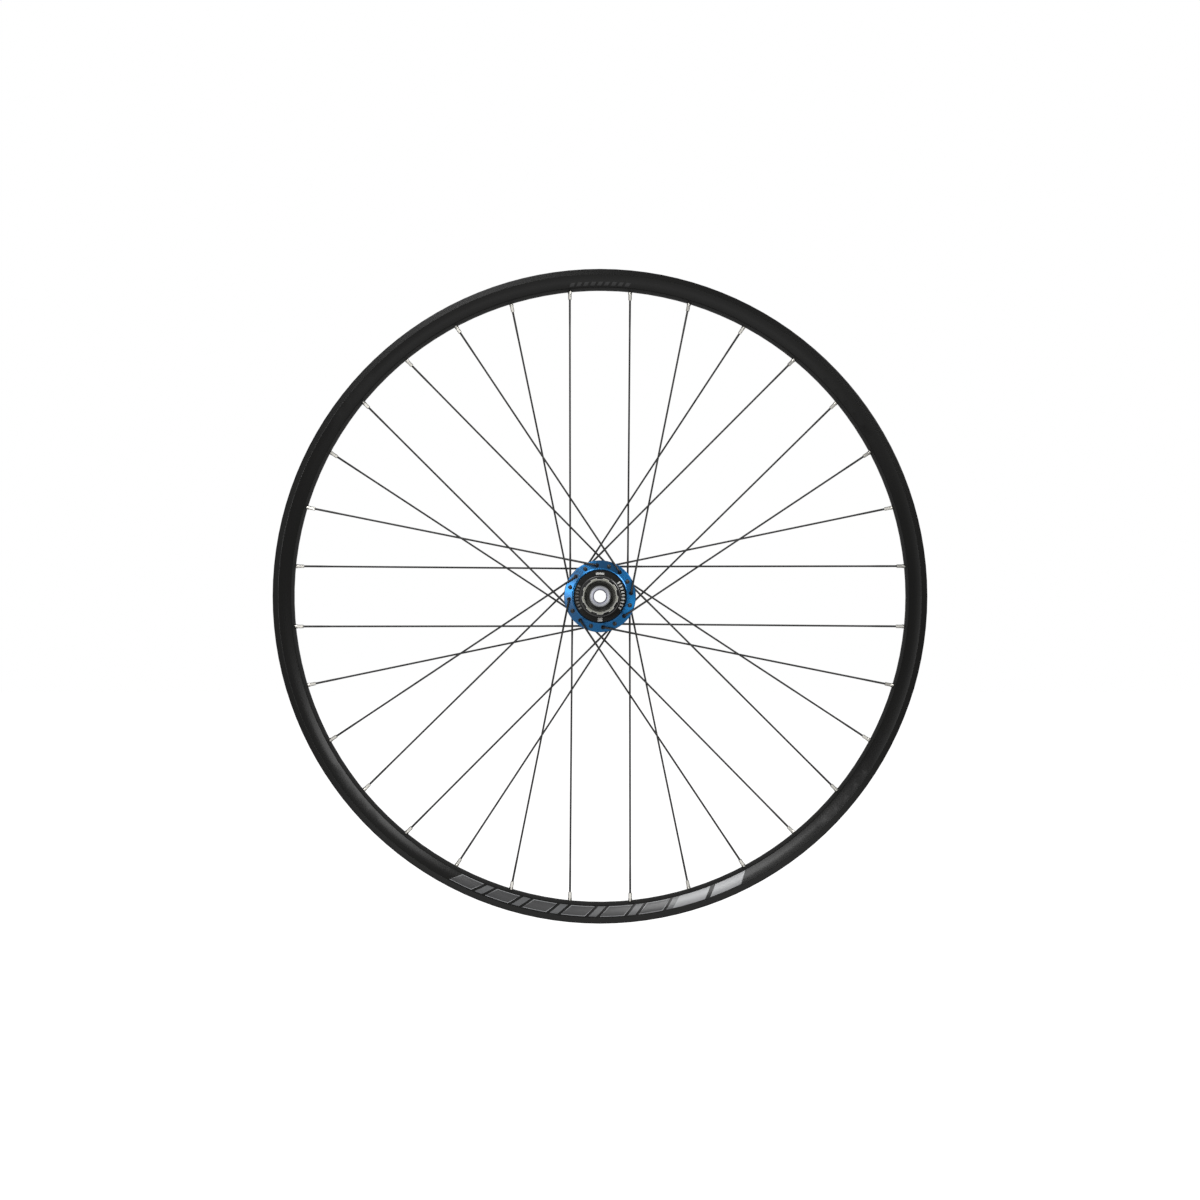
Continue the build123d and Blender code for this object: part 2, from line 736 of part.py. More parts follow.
axle_shoulder_radius = axle_shoulder_diameter / 2
axle = turned_piece(
    (axle_radius - axle_wall, axle_drive_end),
    (axle_radius, axle_drive_end),
    (axle_radius, drive_bearing_floor),
    (axle_shoulder_radius, drive_bearing_floor),
    (axle_shoulder_radius, brake_bearing_floor),
    (axle_radius, brake_bearing_floor),
    (axle_radius, axle_brake_end),
    (axle_radius - axle_wall, axle_brake_end),
)
save(axle, "axle")

spacer_bore_radius = axle_radius + press_clearance
freehub_spacer = turned_tube(
    spacer_bore_radius,
    axle_shoulder_radius,
    axle_drive_end + small_bearing_width,
    freehub_bearing_y - large_bearing_width / 2,
)
save(freehub_spacer, "freehub_spacer")

hub_spacer = turned_tube(
    spacer_bore_radius,
    axle_shoulder_radius,
    freehub_bearing_y + large_bearing_width / 2,
    drive_bearing_y - large_bearing_width / 2,
)
save(hub_spacer, "hub_spacer")


def make_end_cap(label, end_y, shoulder_y):
    """Push-fit end cap with a rubber ring in a groove round its stub."""
    inward = 1 if shoulder_y > end_y else -1
    stub_end = shoulder_y + inward * cap_stub_length
    groove_y = shoulder_y + inward * cap_stub_length / 2
    groove_start = groove_y - inward * cap_ring_width / 2
    groove_end = groove_y + inward * cap_ring_width / 2
    groove_radius = cap_stub_radius - cap_ring_depth
    with BuildPart() as end_cap:
        with BuildSketch(Plane.XY) as cap_section:
            with BuildLine():
                Polyline(
                    (cap_bore / 2, end_y),
                    (cap_diameter / 2, end_y),
                    (cap_diameter / 2, shoulder_y),
                    (cap_stub_radius, shoulder_y),
                    (cap_stub_radius, groove_start),
                    (groove_radius, groove_start),
                    (groove_radius, groove_end),
                    (cap_stub_radius, groove_end),
                    (cap_stub_radius, stub_end),
                    (cap_bore / 2, stub_end),
                    close=True,
                )
            make_face()
            chamfer(corner_near(cap_section, cap_diameter / 2, end_y), cap_edge_chamfer)
            chamfer(corner_near(cap_section, cap_bore / 2, end_y), cap_bore_chamfer)
        revolve(axis=Axis.Y)
    save(end_cap, f"{label}_end_cap")
    with BuildPart() as cap_ring:
        with BuildSketch(Plane.XY) as ring_section:
            with Locations(((groove_radius + cap_stub_radius) / 2, groove_y)):
                Rectangle(cap_ring_depth - 2 * press_clearance, cap_ring_width - 2 * press_clearance)
            fillet(ring_section.vertices(), cap_ring_depth / 4)
        revolve(axis=Axis.Y)
    save(cap_ring, f"{label}_cap_ring")


make_end_cap("drive", drive_end, axle_drive_end)
make_end_cap("brake", brake_end, axle_brake_end)

# Ratchet ring

with BuildPart() as ratchet_ring:
    with BuildSketch(cross_plane(seal_seat_y + ratchet_width)):
        Circle(ratchet_outside / 2)
        tooth_points = []
        for tooth in range(ratchet_teeth):
            face_angle = radians(first_pawl_angle + tooth_face_angle + tooth * tooth_pitch)
            crest_angle = face_angle + radians(tooth_pitch)
            root = ratchet_root_diameter / 2
            crest = ratchet_tip_diameter / 2
            tooth_points.append((root * cos(face_angle), root * sin(face_angle)))
            tooth_points.append((crest * cos(crest_angle), crest * sin(crest_angle)))
        with BuildLine():
            Polyline(*tooth_points, close=True)
        make_face(mode=Mode.SUBTRACT)
    extrude(amount=ratchet_width)
save(ratchet_ring, "ratchet_ring")

# Pawls, drawn with the pivot on +X and the nose pointing the way the wheel is driven


def pawl_point(radius, angle, press=0.0):
    """Point of a pawl at a radius and an angle ahead of its pivot, after pressing the pawl inward."""
    ahead = radius * sin(radians(angle))
    out = radius * cos(radians(angle)) - pivot_radius
    pressed_ahead = ahead * cos(radians(press)) + out * sin(radians(press))
    pressed_out = out * cos(radians(press)) - ahead * sin(radians(press))
    return (pivot_radius + pressed_out, -pressed_ahead)


nose = pawl_point(nose_radius, nose_angle)
nose_foot = pawl_point(nose_foot_radius, nose_angle)
pressed_nose = pawl_point(nose_radius, nose_angle, pawl_swing)
pressed_foot = pawl_point(nose_foot_radius, nose_angle, pawl_swing)
drum_top = ratchet_root_diameter / 2
pawl_turns = turned_about_axle(360 / pawl_count, pawl_count, first_pawl_angle)

with BuildPart() as first_pawl:
    with BuildSketch(cross_plane(pawl_y)):
        with Locations((pivot_radius, 0)):
            Circle(heel_radius)
        Polygon(nose, nose_foot, (pivot_radius, 0), align=None)
        make_hull()
    extrude(amount=pawl_width / 2, both=True)

for pawl_number, pawl_turn in enumerate(pawl_turns, start=1):
    with BuildPart() as pawl:
        with Locations(pawl_turn):
            add(first_pawl.part)
    save(pawl, f"pawl_{pawl_number}")

# Pawl pocket and spring

pocket_radius = heel_radius + pawl_clearance / 2
pocket_reach = -pressed_nose[1] + pocket_front_gap
pocket_floor = pressed_foot[0] - pawl_clearance


def floor_radius(ahead):
    """Height of the pocket floor ahead of the pivot."""
    heel_floor = pivot_radius - pocket_radius
    return heel_floor + (pocket_floor - heel_floor) * ahead / pocket_reach


def pawl_underside(ahead):
    """Height of the underside of a pawl ahead of the pivot, at rest."""
    heel_bottom = pivot_radius - heel_radius
    return heel_bottom + (nose_foot[0] - heel_bottom) * ahead / -nose_foot[1]


with BuildPart() as pawl_pocket:
    with BuildSketch(cross_plane(pawl_y)):
        with Locations((pivot_radius, 0)):
            Circle(pocket_radius)
        Polygon(
            (pocket_floor, -pocket_reach),
            (drum_top, -pocket_reach),
            (drum_top, -heel_radius / 2),
            align=None,
        )
        make_hull()
    extrude(amount=pawl_width / 2 + pawl_side_clearance, both=True)
    with BuildSketch(cross_plane(pawl_y)):
        Polygon(
            (floor_radius(pocket_reach) - spring_slot_depth, -pocket_reach),
            (floor_radius(pocket_reach) + spring_slot_depth, -pocket_reach),
            (floor_radius(heel_radius) + spring_slot_depth, -heel_radius),
            (floor_radius(heel_radius) - spring_slot_depth, -heel_radius),
            align=None,
        )
    extrude(amount=spring_width / 2 + pawl_side_clearance, both=True)

spring_lie = spring_thickness / 2 + press_clearance - spring_slot_depth
spring_foot = pocket_reach - spring_thickness
spring_bend = heel_radius + spring_bend_radius + spring_thickness
spring_contact = spring_contact_share * -nose_foot[1]
spring_drop = spring_thickness + spring_touch_gap / 2

with BuildPart() as first_spring:
    with BuildSketch(cross_plane(pawl_y)):
        with BuildLine():
            FilletPolyline(
                (floor_radius(spring_foot) + spring_lie, -spring_foot),
                (floor_radius(spring_bend) + spring_lie, -spring_bend),
                (pawl_underside(spring_contact) - spring_drop, -spring_contact),
                radius=spring_bend_radius,
            )
        trace(line_width=spring_thickness)
    extrude(amount=spring_width / 2, both=True)

with BuildPart() as pawl_springs:
    with Locations(*pawl_turns):
        add(first_spring.part)
save(pawl_springs, "pawl_springs")

# Freehub body

neck_start = stop_flange_y + stop_flange_thickness
neck_end = seal_seat_y - seal_width
small_seat_end = axle_drive_end - dust_seal_thickness - dust_seal_room
spline_inside_radius = (spline_root_diameter + lockring_bore) / 4

with BuildPart() as freehub_body:
    with BuildSketch(Plane.XY) as freehub_section:
        with BuildLine():
            Polyline(
                (lockring_bore / 2, freehub_outer_end),
                (spline_root_diameter / 2, freehub_outer_end),
                (spline_root_diameter / 2, stop_flange_y),
                (stop_flange_diameter / 2, stop_flange_y),
                (stop_flange_diameter / 2, neck_start),
                (freehub_neck_diameter / 2, neck_start + freehub_neck_cone),
                (freehub_neck_diameter / 2, neck_end - freehub_neck_cone),
                (seal_land_diameter / 2, neck_end),
                (seal_land_diameter / 2, seal_seat_y),
                (pawl_drum_diameter / 2, seal_seat_y),
                (pawl_drum_diameter / 2, freehub_inner_end),
                (bearing_seat_radius, freehub_inner_end),
                (bearing_seat_radius, freehub_bearing_y - large_bearing_width / 2),
                (freehub_bore / 2, freehub_bearing_y - large_bearing_width / 2),
                (freehub_bore / 2, axle_drive_end + small_bearing_width),
                (small_seat_radius, axle_drive_end + small_bearing_width),
                (small_seat_radius, small_seat_end),
                (lockring_bore / 2, small_seat_end),
                close=True,
            )
        make_face()
        chamfer(corner_near(freehub_section, lockring_bore / 2, freehub_outer_end), lockring_mouth_chamfer)
        chamfer(corner_near(freehub_section, stop_flange_diameter / 2, stop_flange_y), stop_flange_chamfer)
    revolve(axis=Axis.Y)
    with BuildSketch(cross_plane(stop_flange_y)):
        for spline in range(spline_count):
            narrow = spline == spline_narrow_index
            lobe_width = spline_narrow_width if narrow else spline_width
            lobe_shift = spline_narrow_shift if narrow else 0
            lobe_angle = spline_first_angle + spline * 360 / spline_count + lobe_shift
            with Locations(Location((0, 0, 0), (0, 0, lobe_angle))):
                with Locations((spline_tip_diameter / 4, 0)):
                    Rectangle(spline_tip_diameter / 2, lobe_width)
        Circle(spline_tip_diameter / 2, mode=Mode.INTERSECT)
        Circle(spline_inside_radius, mode=Mode.SUBTRACT)
    extrude(amount=spline_length)
    spline_end = freehub_body.faces().sort_by(Axis.Y)[0]
    chamfer(spline_end.outer_wire().edges(), spline_end_chamfer)
    with Locations(*pawl_turns):
        add(pawl_pocket.part, mode=Mode.SUBTRACT)
save(freehub_body, "freehub_body")

# Seals

freehub_seal = turned_piece(
    (seal_land_diameter / 2 + press_clearance, seal_seat_y - press_clearance),
    (mouth_radius - seal_running_gap, seal_seat_y - press_clearance),
    (mouth_radius - seal_running_gap, neck_end + seal_edge_chamfer),
    (mouth_radius - seal_running_gap - seal_edge_chamfer, neck_end),
    (seal_land_diameter / 2 + press_clearance, neck_end),
)
save(freehub_seal, "freehub_seal")

drive_dust_seal = turned_tube(
    cap_diameter / 2 + dust_seal_gap,
    small_seat_radius - press_clearance,
    axle_drive_end - dust_seal_offset - dust_seal_thickness,
    axle_drive_end - dust_seal_offset,
)
save(drive_dust_seal, "drive_dust_seal")

brake_seal_y = axle_brake_end + dust_seal_offset
brake_dust_seal = turned_piece(
    (cap_diameter / 2 + dust_seal_gap, brake_seal_y + dust_seal_thickness),
    (bearing_seat_radius - press_clearance, brake_seal_y),
    (bearing_seat_radius - press_clearance, brake_seal_y + dust_seal_thickness),
    (cap_diameter / 2 + dust_seal_gap, brake_seal_y + 2 * dust_seal_thickness),
)
save(brake_dust_seal, "brake_dust_seal")
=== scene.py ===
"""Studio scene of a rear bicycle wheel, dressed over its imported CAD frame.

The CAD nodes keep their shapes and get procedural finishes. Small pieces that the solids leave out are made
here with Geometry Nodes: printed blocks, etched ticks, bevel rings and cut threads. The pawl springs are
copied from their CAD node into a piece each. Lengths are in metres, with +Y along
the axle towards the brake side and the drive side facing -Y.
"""
import logging
from dataclasses import dataclass
from enum import Enum
from math import atan2, cos, degrees, radians, sin, tau
from typing import Mapping, Optional, Union

import bmesh
import bpy
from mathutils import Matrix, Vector


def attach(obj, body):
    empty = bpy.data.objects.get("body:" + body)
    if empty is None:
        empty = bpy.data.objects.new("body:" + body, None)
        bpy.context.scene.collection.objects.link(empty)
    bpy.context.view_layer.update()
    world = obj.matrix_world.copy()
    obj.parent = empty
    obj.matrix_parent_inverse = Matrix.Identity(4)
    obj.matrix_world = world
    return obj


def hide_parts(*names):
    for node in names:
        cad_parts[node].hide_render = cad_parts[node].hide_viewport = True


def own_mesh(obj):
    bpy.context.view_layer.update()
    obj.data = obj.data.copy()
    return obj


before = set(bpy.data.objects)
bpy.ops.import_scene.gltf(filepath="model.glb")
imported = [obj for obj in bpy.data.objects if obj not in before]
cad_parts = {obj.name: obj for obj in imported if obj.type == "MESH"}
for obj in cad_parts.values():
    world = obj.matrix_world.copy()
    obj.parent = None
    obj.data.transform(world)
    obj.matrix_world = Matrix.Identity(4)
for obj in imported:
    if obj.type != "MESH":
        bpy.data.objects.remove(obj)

LOG = logging.getLogger("wheel")
MM = 0.001
MERGE_DISTANCE = 0.001 * MM
PAWL_COUNT = 6
# Share of a turn that lays a finish's brushed marks round the axle
GROOVE_TURN = 0.25
# Brings the product of a share and its rest to 1 half way
HUMP = 4.0
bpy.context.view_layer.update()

Colour = tuple[float, float, float]
Point = tuple[float, float, float]
Socket = bpy.types.NodeSocket
Value = Union[float, Socket]
Feeds = Mapping[Union[int, str], object]

# Socket type of a tree's input, by the type of its default
SOCKET_KINDS = {int: "NodeSocketInt", float: "NodeSocketFloat", tuple: "NodeSocketColor",
                type(None): "NodeSocketMaterial"}


class Side(Enum):
    """Side of the wheel, as the sign of Y that it faces."""

    DRIVE = -1
    BRAKE = 1


class Body(Enum):
    """CAD body that a piece moves with."""

    WHEEL = "wheel"
    FREEHUB = "freehub"


class Slot(Enum):
    """Material slot of the record."""

    RIM = "rim_black"
    HUB = "hub_blue"
    FREEHUB = "freehub_black"
    SEAL_RING = "seal_ring_black"
    TOOL_STEEL = "tool_steel"


class Wiring:
    """Adds and links nodes in one shader or geometry tree."""

    def __init__(self, tree: bpy.types.NodeTree) -> None:
        """Keep the tree to work on."""
        self.tree = tree

    def take(self, inputs: Mapping[str, object]) -> Mapping[str, Socket]:
        """Give the tree named inputs.

        Args:
            inputs: Default of each input, which also sets its type. A material has None.

        Returns:
            The inputs' sockets inside the tree.
        """
        for label, default in inputs.items():
            kind = SOCKET_KINDS[type(default)]
            socket = self.tree.interface.new_socket(label, in_out="INPUT", socket_type=kind)
            if default is not None:
                socket.default_value = default
        return self.node("NodeGroupInput").outputs

    def node(self, kind: str, inputs: Optional[Feeds] = None, **settings: object) -> bpy.types.Node:
        """Add a node.

        Args:
            kind: Blender's class name for the node.
            inputs: A value or a socket for each input to feed, by its name or number.
            **settings: Attributes to set on it.

        Returns:
            The new node.
        """
        made = self.tree.nodes.new(kind)
        for name, value in settings.items():
            setattr(made, name, value)
        self.fill(made, inputs or {})
        return made

    def fill(self, node: bpy.types.Node, inputs: Feeds) -> None:
        """Feed a node's inputs, each by its name or number."""
        for key, value in inputs.items():
            self.feed(node.inputs[key], value)

    def feed(self, target: Socket, value: object) -> None:
        """Link a socket to target, or set a plain value on it."""
        if isinstance(value, bpy.types.NodeSocket):
            self.tree.links.new(value, target)
        else:
            target.default_value = value

    def math(self, operation: str, *values: Value) -> Socket:
        """Add a Math node.

        Args:
            operation: Blender's name for the operation.
            *values: Numbers or sockets, one for each input.

        Returns:
            The result's socket.
        """
        return self.node("ShaderNodeMath", dict(enumerate(values)), operation=operation).outputs[0]

    def blend(self, factor: Value, first: object, second: object) -> Socket:
        """Add a colour mix.

        Args:
            factor: Share of the second colour.
            first: Colour or socket at factor 0.
            second: Colour or socket at factor 1.

        Returns:
            The mixed colour's socket.
        """
        made = self.node("ShaderNodeMix", {"Factor": factor}, data_type="RGBA")
        for name, value in (("A", first), ("B", second)):
            socket = next(s for s in made.inputs if s.name == name and s.type == "RGBA")
            self.feed(socket, (*value, 1.0) if isinstance(value, tuple) else value)
        return next(s for s in made.outputs if s.type == "RGBA")

    def spread(self, value: Value, low: Value, high: Value) -> Socket:
        """Map a value from 0..1 to low..high."""
        return self.node("ShaderNodeMapRange", {"Value": value, "To Min": low, "To Max": high}).outputs[0]

    def step(self, value: Value, start: float, end: float) -> Socket:
        """Rise smoothly from 0 at start to 1 at end."""
        return self.node("ShaderNodeMapRange", {"Value": value, "From Min": start, "From Max": end},
                         interpolation_type="SMOOTHSTEP").outputs[0]

    def beyond(self, value: Value, limit: float, edge: float) -> Socket:
        """Mask of where a value lies past a limit, soft by edge on both sides of it."""
        return self.step(value, limit - edge, limit + edge)

    def weigh(self, first: Value, second: Value, share: float) -> Socket:
        """Add two values, the first by its share and the second by the rest."""
        return self.math("ADD", self.math("MULTIPLY", first, share),
                         self.math("MULTIPLY", second, 1.0 - share))

    def position(self) -> Socket:
        """Place of the surface in its object."""
        return self.node("ShaderNodeTexCoord").outputs["Object"]

    def split(self, vector: Socket) -> Mapping[str, Socket]:
        """X, Y and Z of a vector."""
        return self.node("ShaderNodeSeparateXYZ", {0: vector}).outputs

    def about_axle(self) -> tuple[Socket, Socket]:
        """Distance of the surface from the axle line, and its place along it."""
        place = self.split(self.position())
        return self.length(place["X"], place["Z"]), place["Y"]

    def angle_about_axle(self) -> Socket:
        """Angle of the surface round the axle, from +X towards +Z, in radians."""
        place = self.split(self.position())
        return self.math("ARCTAN2", place["Z"], place["X"])

    def length(self, first: Value, second: Value) -> Socket:
        """Length of two values at right angles."""
        squares = [self.math("MULTIPLY", value, value) for value in (first, second)]
        return self.math("SQRT", self.math("ADD", *squares))

    def noise(self, vector: Socket, size: Value, detail: float) -> Socket:
        """Noise from 0 to 1 over a vector, with marks of a size."""
        return self.node("ShaderNodeTexNoise", {
            "Vector": vector, "Scale": self.math("DIVIDE", 1.0, size), "Detail": detail}).outputs[0]

    def bump(self, height: Socket, depth: float, normal: Optional[Socket] = None) -> Socket:
        """Mark the surface by a height map.

        Args:
            height: The map, from 0 to 1.
            depth: Height of its marks, in metres.
            normal: Normal that the marks stand on, where it isn't the surface's own.

        Returns:
            The marked normal's socket.
        """
        made = self.node("ShaderNodeBump", {"Strength": 1.0, "Distance": depth, "Height": height})
        if normal is not None:
            self.feed(made.inputs["Normal"], normal)
        return made.outputs["Normal"]


# Shader groups

class SurfaceGroups:
    """Shader node groups that several finishes share, each built once."""

    GRAIN_DETAIL = 3.0
    PATCH_DETAIL = 4.0
    RING_DETAIL = 3.0
    GRAIN_IN_TONE = 0.5
    GRAIN_IN_GLOSS = 0.35
    WAVE_HEIGHT = 0.5

    def __init__(self) -> None:
        """Build the groups."""
        self.grain = self._grain()
        self.turning = self._turning()

    @staticmethod
    def _open(name: str, inputs: Mapping[str, object],
              outputs: Mapping[str, str]) -> tuple[Wiring, Mapping[str, Socket], bpy.types.Node]:
        """Start a group.

        Args:
            name: The group's name.
            inputs: Default of each input.
            outputs: Socket type of each output.

        Returns:
            The group's wiring, what it is given, and its output node.
        """
        tree = bpy.data.node_groups.new(name, "ShaderNodeTree")
        for label, kind in outputs.items():
            tree.interface.new_socket(label, in_out="OUTPUT", socket_type=kind)
        wires = Wiring(tree)
        return wires, wires.take(inputs), wires.node("NodeGroupOutput")

    def _grain(self) -> bpy.types.NodeTree:
        """Fine etched grain of an anodised, plated or moulded surface: tone, gloss and height."""
        wires, given, result = self._open(
            "fine_grain",
            {"Dark": (0.01, 0.01, 0.01, 1.0), "Light": (0.02, 0.02, 0.02, 1.0), "Grain Size": 0.2 * MM,
             "Patch Size": 30 * MM, "Smooth": 0.3, "Rough": 0.5},
            {"Color": "NodeSocketColor", "Roughness": "NodeSocketFloat", "Height": "NodeSocketFloat"},
        )
        place = wires.position()
        fine = wires.noise(place, given["Grain Size"], self.GRAIN_DETAIL)
        patch = wires.noise(place, given["Patch Size"], self.PATCH_DETAIL)
        tone = wires.weigh(fine, patch, self.GRAIN_IN_TONE)
        gloss = wires.weigh(fine, patch, self.GRAIN_IN_GLOSS)
        wires.fill(result, {
            "Color": wires.blend(tone, given["Dark"], given["Light"]),
            "Roughness": wires.spread(gloss, given["Smooth"], given["Rough"]),
            "Height": fine,
        })
        return wires.tree

    def _turning(self) -> bpy.types.NodeTree:
        """Height of the tool marks of a lathe, in rings about the axle."""
        wires, given, result = self._open(
            "turning_marks",
            {"Feed": 0.25 * MM, "Waver": 0.35},
            {"Height": "NodeSocketFloat"},
        )
        radius, along = wires.about_axle()
        turns = wires.math("DIVIDE", wires.math("ADD", radius, along), given["Feed"])
        ring = wires.node("ShaderNodeTexNoise", {"W": turns, "Scale": 1.0, "Detail": self.RING_DETAIL},
                          noise_dimensions="1D")
        wave = wires.math("SINE", wires.math("MULTIPLY", turns, tau))
        height = wires.math("ADD", wires.math("MULTIPLY", wave, self.WAVE_HEIGHT),
                            wires.math("MULTIPLY", ring.outputs[0], given["Waver"]))
        wires.feed(result.inputs["Height"], height)
        return wires.tree


# Finishes

@dataclass(frozen=True)
class Finish:
    """One finish: its two tones, its gloss and the marks left by making it.

    Colours are linear. Sizes are in metres. Smooth and rough are the ends of its roughness, and feed is the
    step of its lathe marks.
    """

    name: str
    dark: Colour
    light: Colour
    smooth: float
    rough: float
    metallic: float = 0.0
    specular: float = 0.5
    grain_size: float = 0.2 * MM
    patch_size: float = 30 * MM
    grain_depth: float = 0.004 * MM
    feed: float = 0.0
    turning_depth: float = 0.0
    anisotropy: float = 0.0
    coat: float = 0.0
    coat_roughness: float = 0.25

    def build(self, groups: SurfaceGroups) -> bpy.types.Material:
        """Make the material.

        Args:
            groups: The shared shader groups.

        Returns:
            The new material.
        """
        material = bpy.data.materials.new(self.name)
        material.use_nodes = True
        wires = Wiring(material.node_tree)
        shader = material.node_tree.nodes["Principled BSDF"]
        grain = wires.node("ShaderNodeGroup", {
            "Dark": (*self.dark, 1.0), "Light": (*self.light, 1.0), "Grain Size": self.grain_size,
            "Patch Size": self.patch_size, "Smooth": self.smooth, "Rough": self.rough,
        }, node_tree=groups.grain).outputs
        wires.fill(shader, {
            "Metallic": self.metallic, "Specular IOR Level": self.specular, "Anisotropic": self.anisotropy,
            "Coat Weight": self.coat, "Coat Roughness": self.coat_roughness,
        })
        self.paint(wires, shader, grain["Color"])
        normal = wires.bump(grain["Height"], self.grain_depth)
        if self.turning_depth:
            turning = wires.node("ShaderNodeGroup", {"Feed": self.feed}, node_tree=groups.turning)
            normal = wires.bump(turning.outputs["Height"], self.turning_depth, normal)
        wires.fill(shader, {"Roughness": self.gloss(wires, grain["Roughness"]), "Normal": normal})
        if self.anisotropy:
            tangent = wires.node("ShaderNodeTangent", direction_type="RADIAL", axis="Y")
            wires.fill(shader, {"Anisotropic Rotation": GROOVE_TURN, "Tangent": tangent.outputs[0]})
        return material

    def paint(self, wires: Wiring, shader: bpy.types.Node, grain: Socket) -> None:
        """Feed the shader's colour from the grain's tone."""
        wires.feed(shader.inputs["Base Color"], grain)

    def gloss(self, wires: Wiring, grain: Socket) -> Socket:
        """Roughness of the surface, which is the grain's own."""
        return grain


@dataclass(frozen=True)
class FacedFinish(Finish):
    """Coated piece whose end towards the drive side is cut back to bare metal, round a dull recess.

    The bevels of the cut end are bright bare metal, and its flat face is the same metal painted darker, as
    painted shade.
    """

    bare: Colour = (0.4, 0.4, 0.38)
    face_y: float = 0.0
    # Painted shade: the flat end face is the bevels' bare metal, painted darker
    flat: Colour = (0.15, 0.15, 0.13)
    flat_y: float = 0.0
    recess: Colour = (0.04, 0.04, 0.034)
    recess_radius: float = 0.0
    recess_y: float = 0.0
    edge: float = 0.02 * MM

    def past(self, wires: Wiring, along: Socket, place_y: float) -> Socket:
        """Mask of the surface that lies past a place on the axle, towards the drive side."""
        outward = wires.math("MULTIPLY", along, -1.0)
        return wires.beyond(outward, -place_y, self.edge)

    def paint(self, wires: Wiring, shader: bpy.types.Node, grain: Socket) -> None:
        """Feed colour and metal: bare past the faced end, painted shade on its flat face, dull in the recess,
        coated elsewhere.
        """
        radius, along = wires.about_axle()
        face = self.past(wires, along, self.face_y)
        outside = wires.beyond(radius, self.recess_radius, self.edge)
        inside = wires.math("MULTIPLY", self.past(wires, along, self.recess_y),
                            wires.math("SUBTRACT", 1.0, outside))
        coated = wires.blend(inside, grain, self.recess)
        # Painted shade: the flat face past flat_y takes the darker tone
        cut = wires.blend(self.past(wires, along, self.flat_y), self.bare, self.flat)
        wires.fill(shader, {"Base Color": wires.blend(face, coated, cut), "Metallic": face})


@dataclass(frozen=True)
class PiercedFinish(Finish):
    """Flanged shell whose spoke holes are painted near black, as painted shade.

    Each flange has its own circle of holes, given by its radius. First is the angle of a circle's first hole,
    in degrees from +X towards +Z.
    """

    # Painted shade: a near black tone that stands in for the shadow in the spoke holes
    painted_hole_shade: Colour = (0.002, 0.003, 0.005)
    hole_count: int = 16
    hole_reach: float = 2.1 * MM
    drive_circle: float = 30.0 * MM
    drive_first: float = 5.625
    brake_circle: float = 28.5 * MM
    brake_first: float = 16.875
    flanges_end: float = 40.0 * MM
    edge: float = 0.15 * MM

    def holes(self, wires: Wiring) -> Socket:
        """Mask of the spoke holes in both flanges, where shade is painted."""
        radius, along = wires.about_axle()
        brake = wires.math("GREATER_THAN", along, 0.0)
        circle = wires.spread(brake, self.drive_circle, self.brake_circle)
        first = wires.spread(brake, radians(self.drive_first), radians(self.brake_first))
        pitch = tau / self.hole_count
        turns = wires.math("DIVIDE", wires.math("SUBTRACT", wires.angle_about_axle(), first), pitch)
        aside = wires.math("MULTIPLY", wires.math("SUBTRACT", turns, wires.math("ROUND", turns)), pitch)
        distance = wires.length(wires.math("MULTIPLY", aside, circle),
                                wires.math("SUBTRACT", radius, circle))
        outside = wires.beyond(distance, self.hole_reach, self.edge)
        on_flange = wires.math("LESS_THAN", along, self.flanges_end)
        return wires.math("MULTIPLY", wires.math("SUBTRACT", 1.0, outside), on_flange)

    def paint(self, wires: Wiring, shader: bpy.types.Node, grain: Socket) -> None:
        """Feed the shader's colour: painted shade in the holes, the grain's tone elsewhere."""
        wires.feed(shader.inputs["Base Color"], wires.blend(self.holes(wires), grain, self.painted_hole_shade))


@dataclass(frozen=True)
class BoredFinish(Finish):
    """Turned piece that is darker round its bore."""

    bore_tone: Colour = (0.2, 0.2, 0.22)
    bore_reach: float = 8.0 * MM
    edge: float = 0.2 * MM

    def paint(self, wires: Wiring, shader: bpy.types.Node, grain: Socket) -> None:
        """Feed the shader's colour: the bore's tone near the axle line, the grain's tone elsewhere."""
        radius, _ = wires.about_axle()
        outside = wires.beyond(radius, self.bore_reach, self.edge)
        wires.feed(shader.inputs["Base Color"], wires.blend(outside, self.bore_tone, grain))


@dataclass(frozen=True)
class BeddedFinish(Finish):
    """Rim whose spoke bed, inside its side walls, is duller than they are."""

    bed_radius: float = 299.9 * MM
    bed_roughness: float = 0.7
    edge: float = 0.15 * MM

    def gloss(self, wires: Wiring, grain: Socket) -> Socket:
        """Roughness of the surface: the bed's near the axle, the grain's own on the walls."""
        radius, _ = wires.about_axle()
        wall = wires.beyond(radius, self.bed_radius, self.edge)
        return wires.spread(wall, self.bed_roughness, grain)


# Geometry Nodes

def add_object(name: str, data: bpy.types.ID) -> bpy.types.Object:
    """Make an object at the origin and put it in the scene."""
    made = bpy.data.objects.new(name, data)
    bpy.context.scene.collection.objects.link(made)
    return made


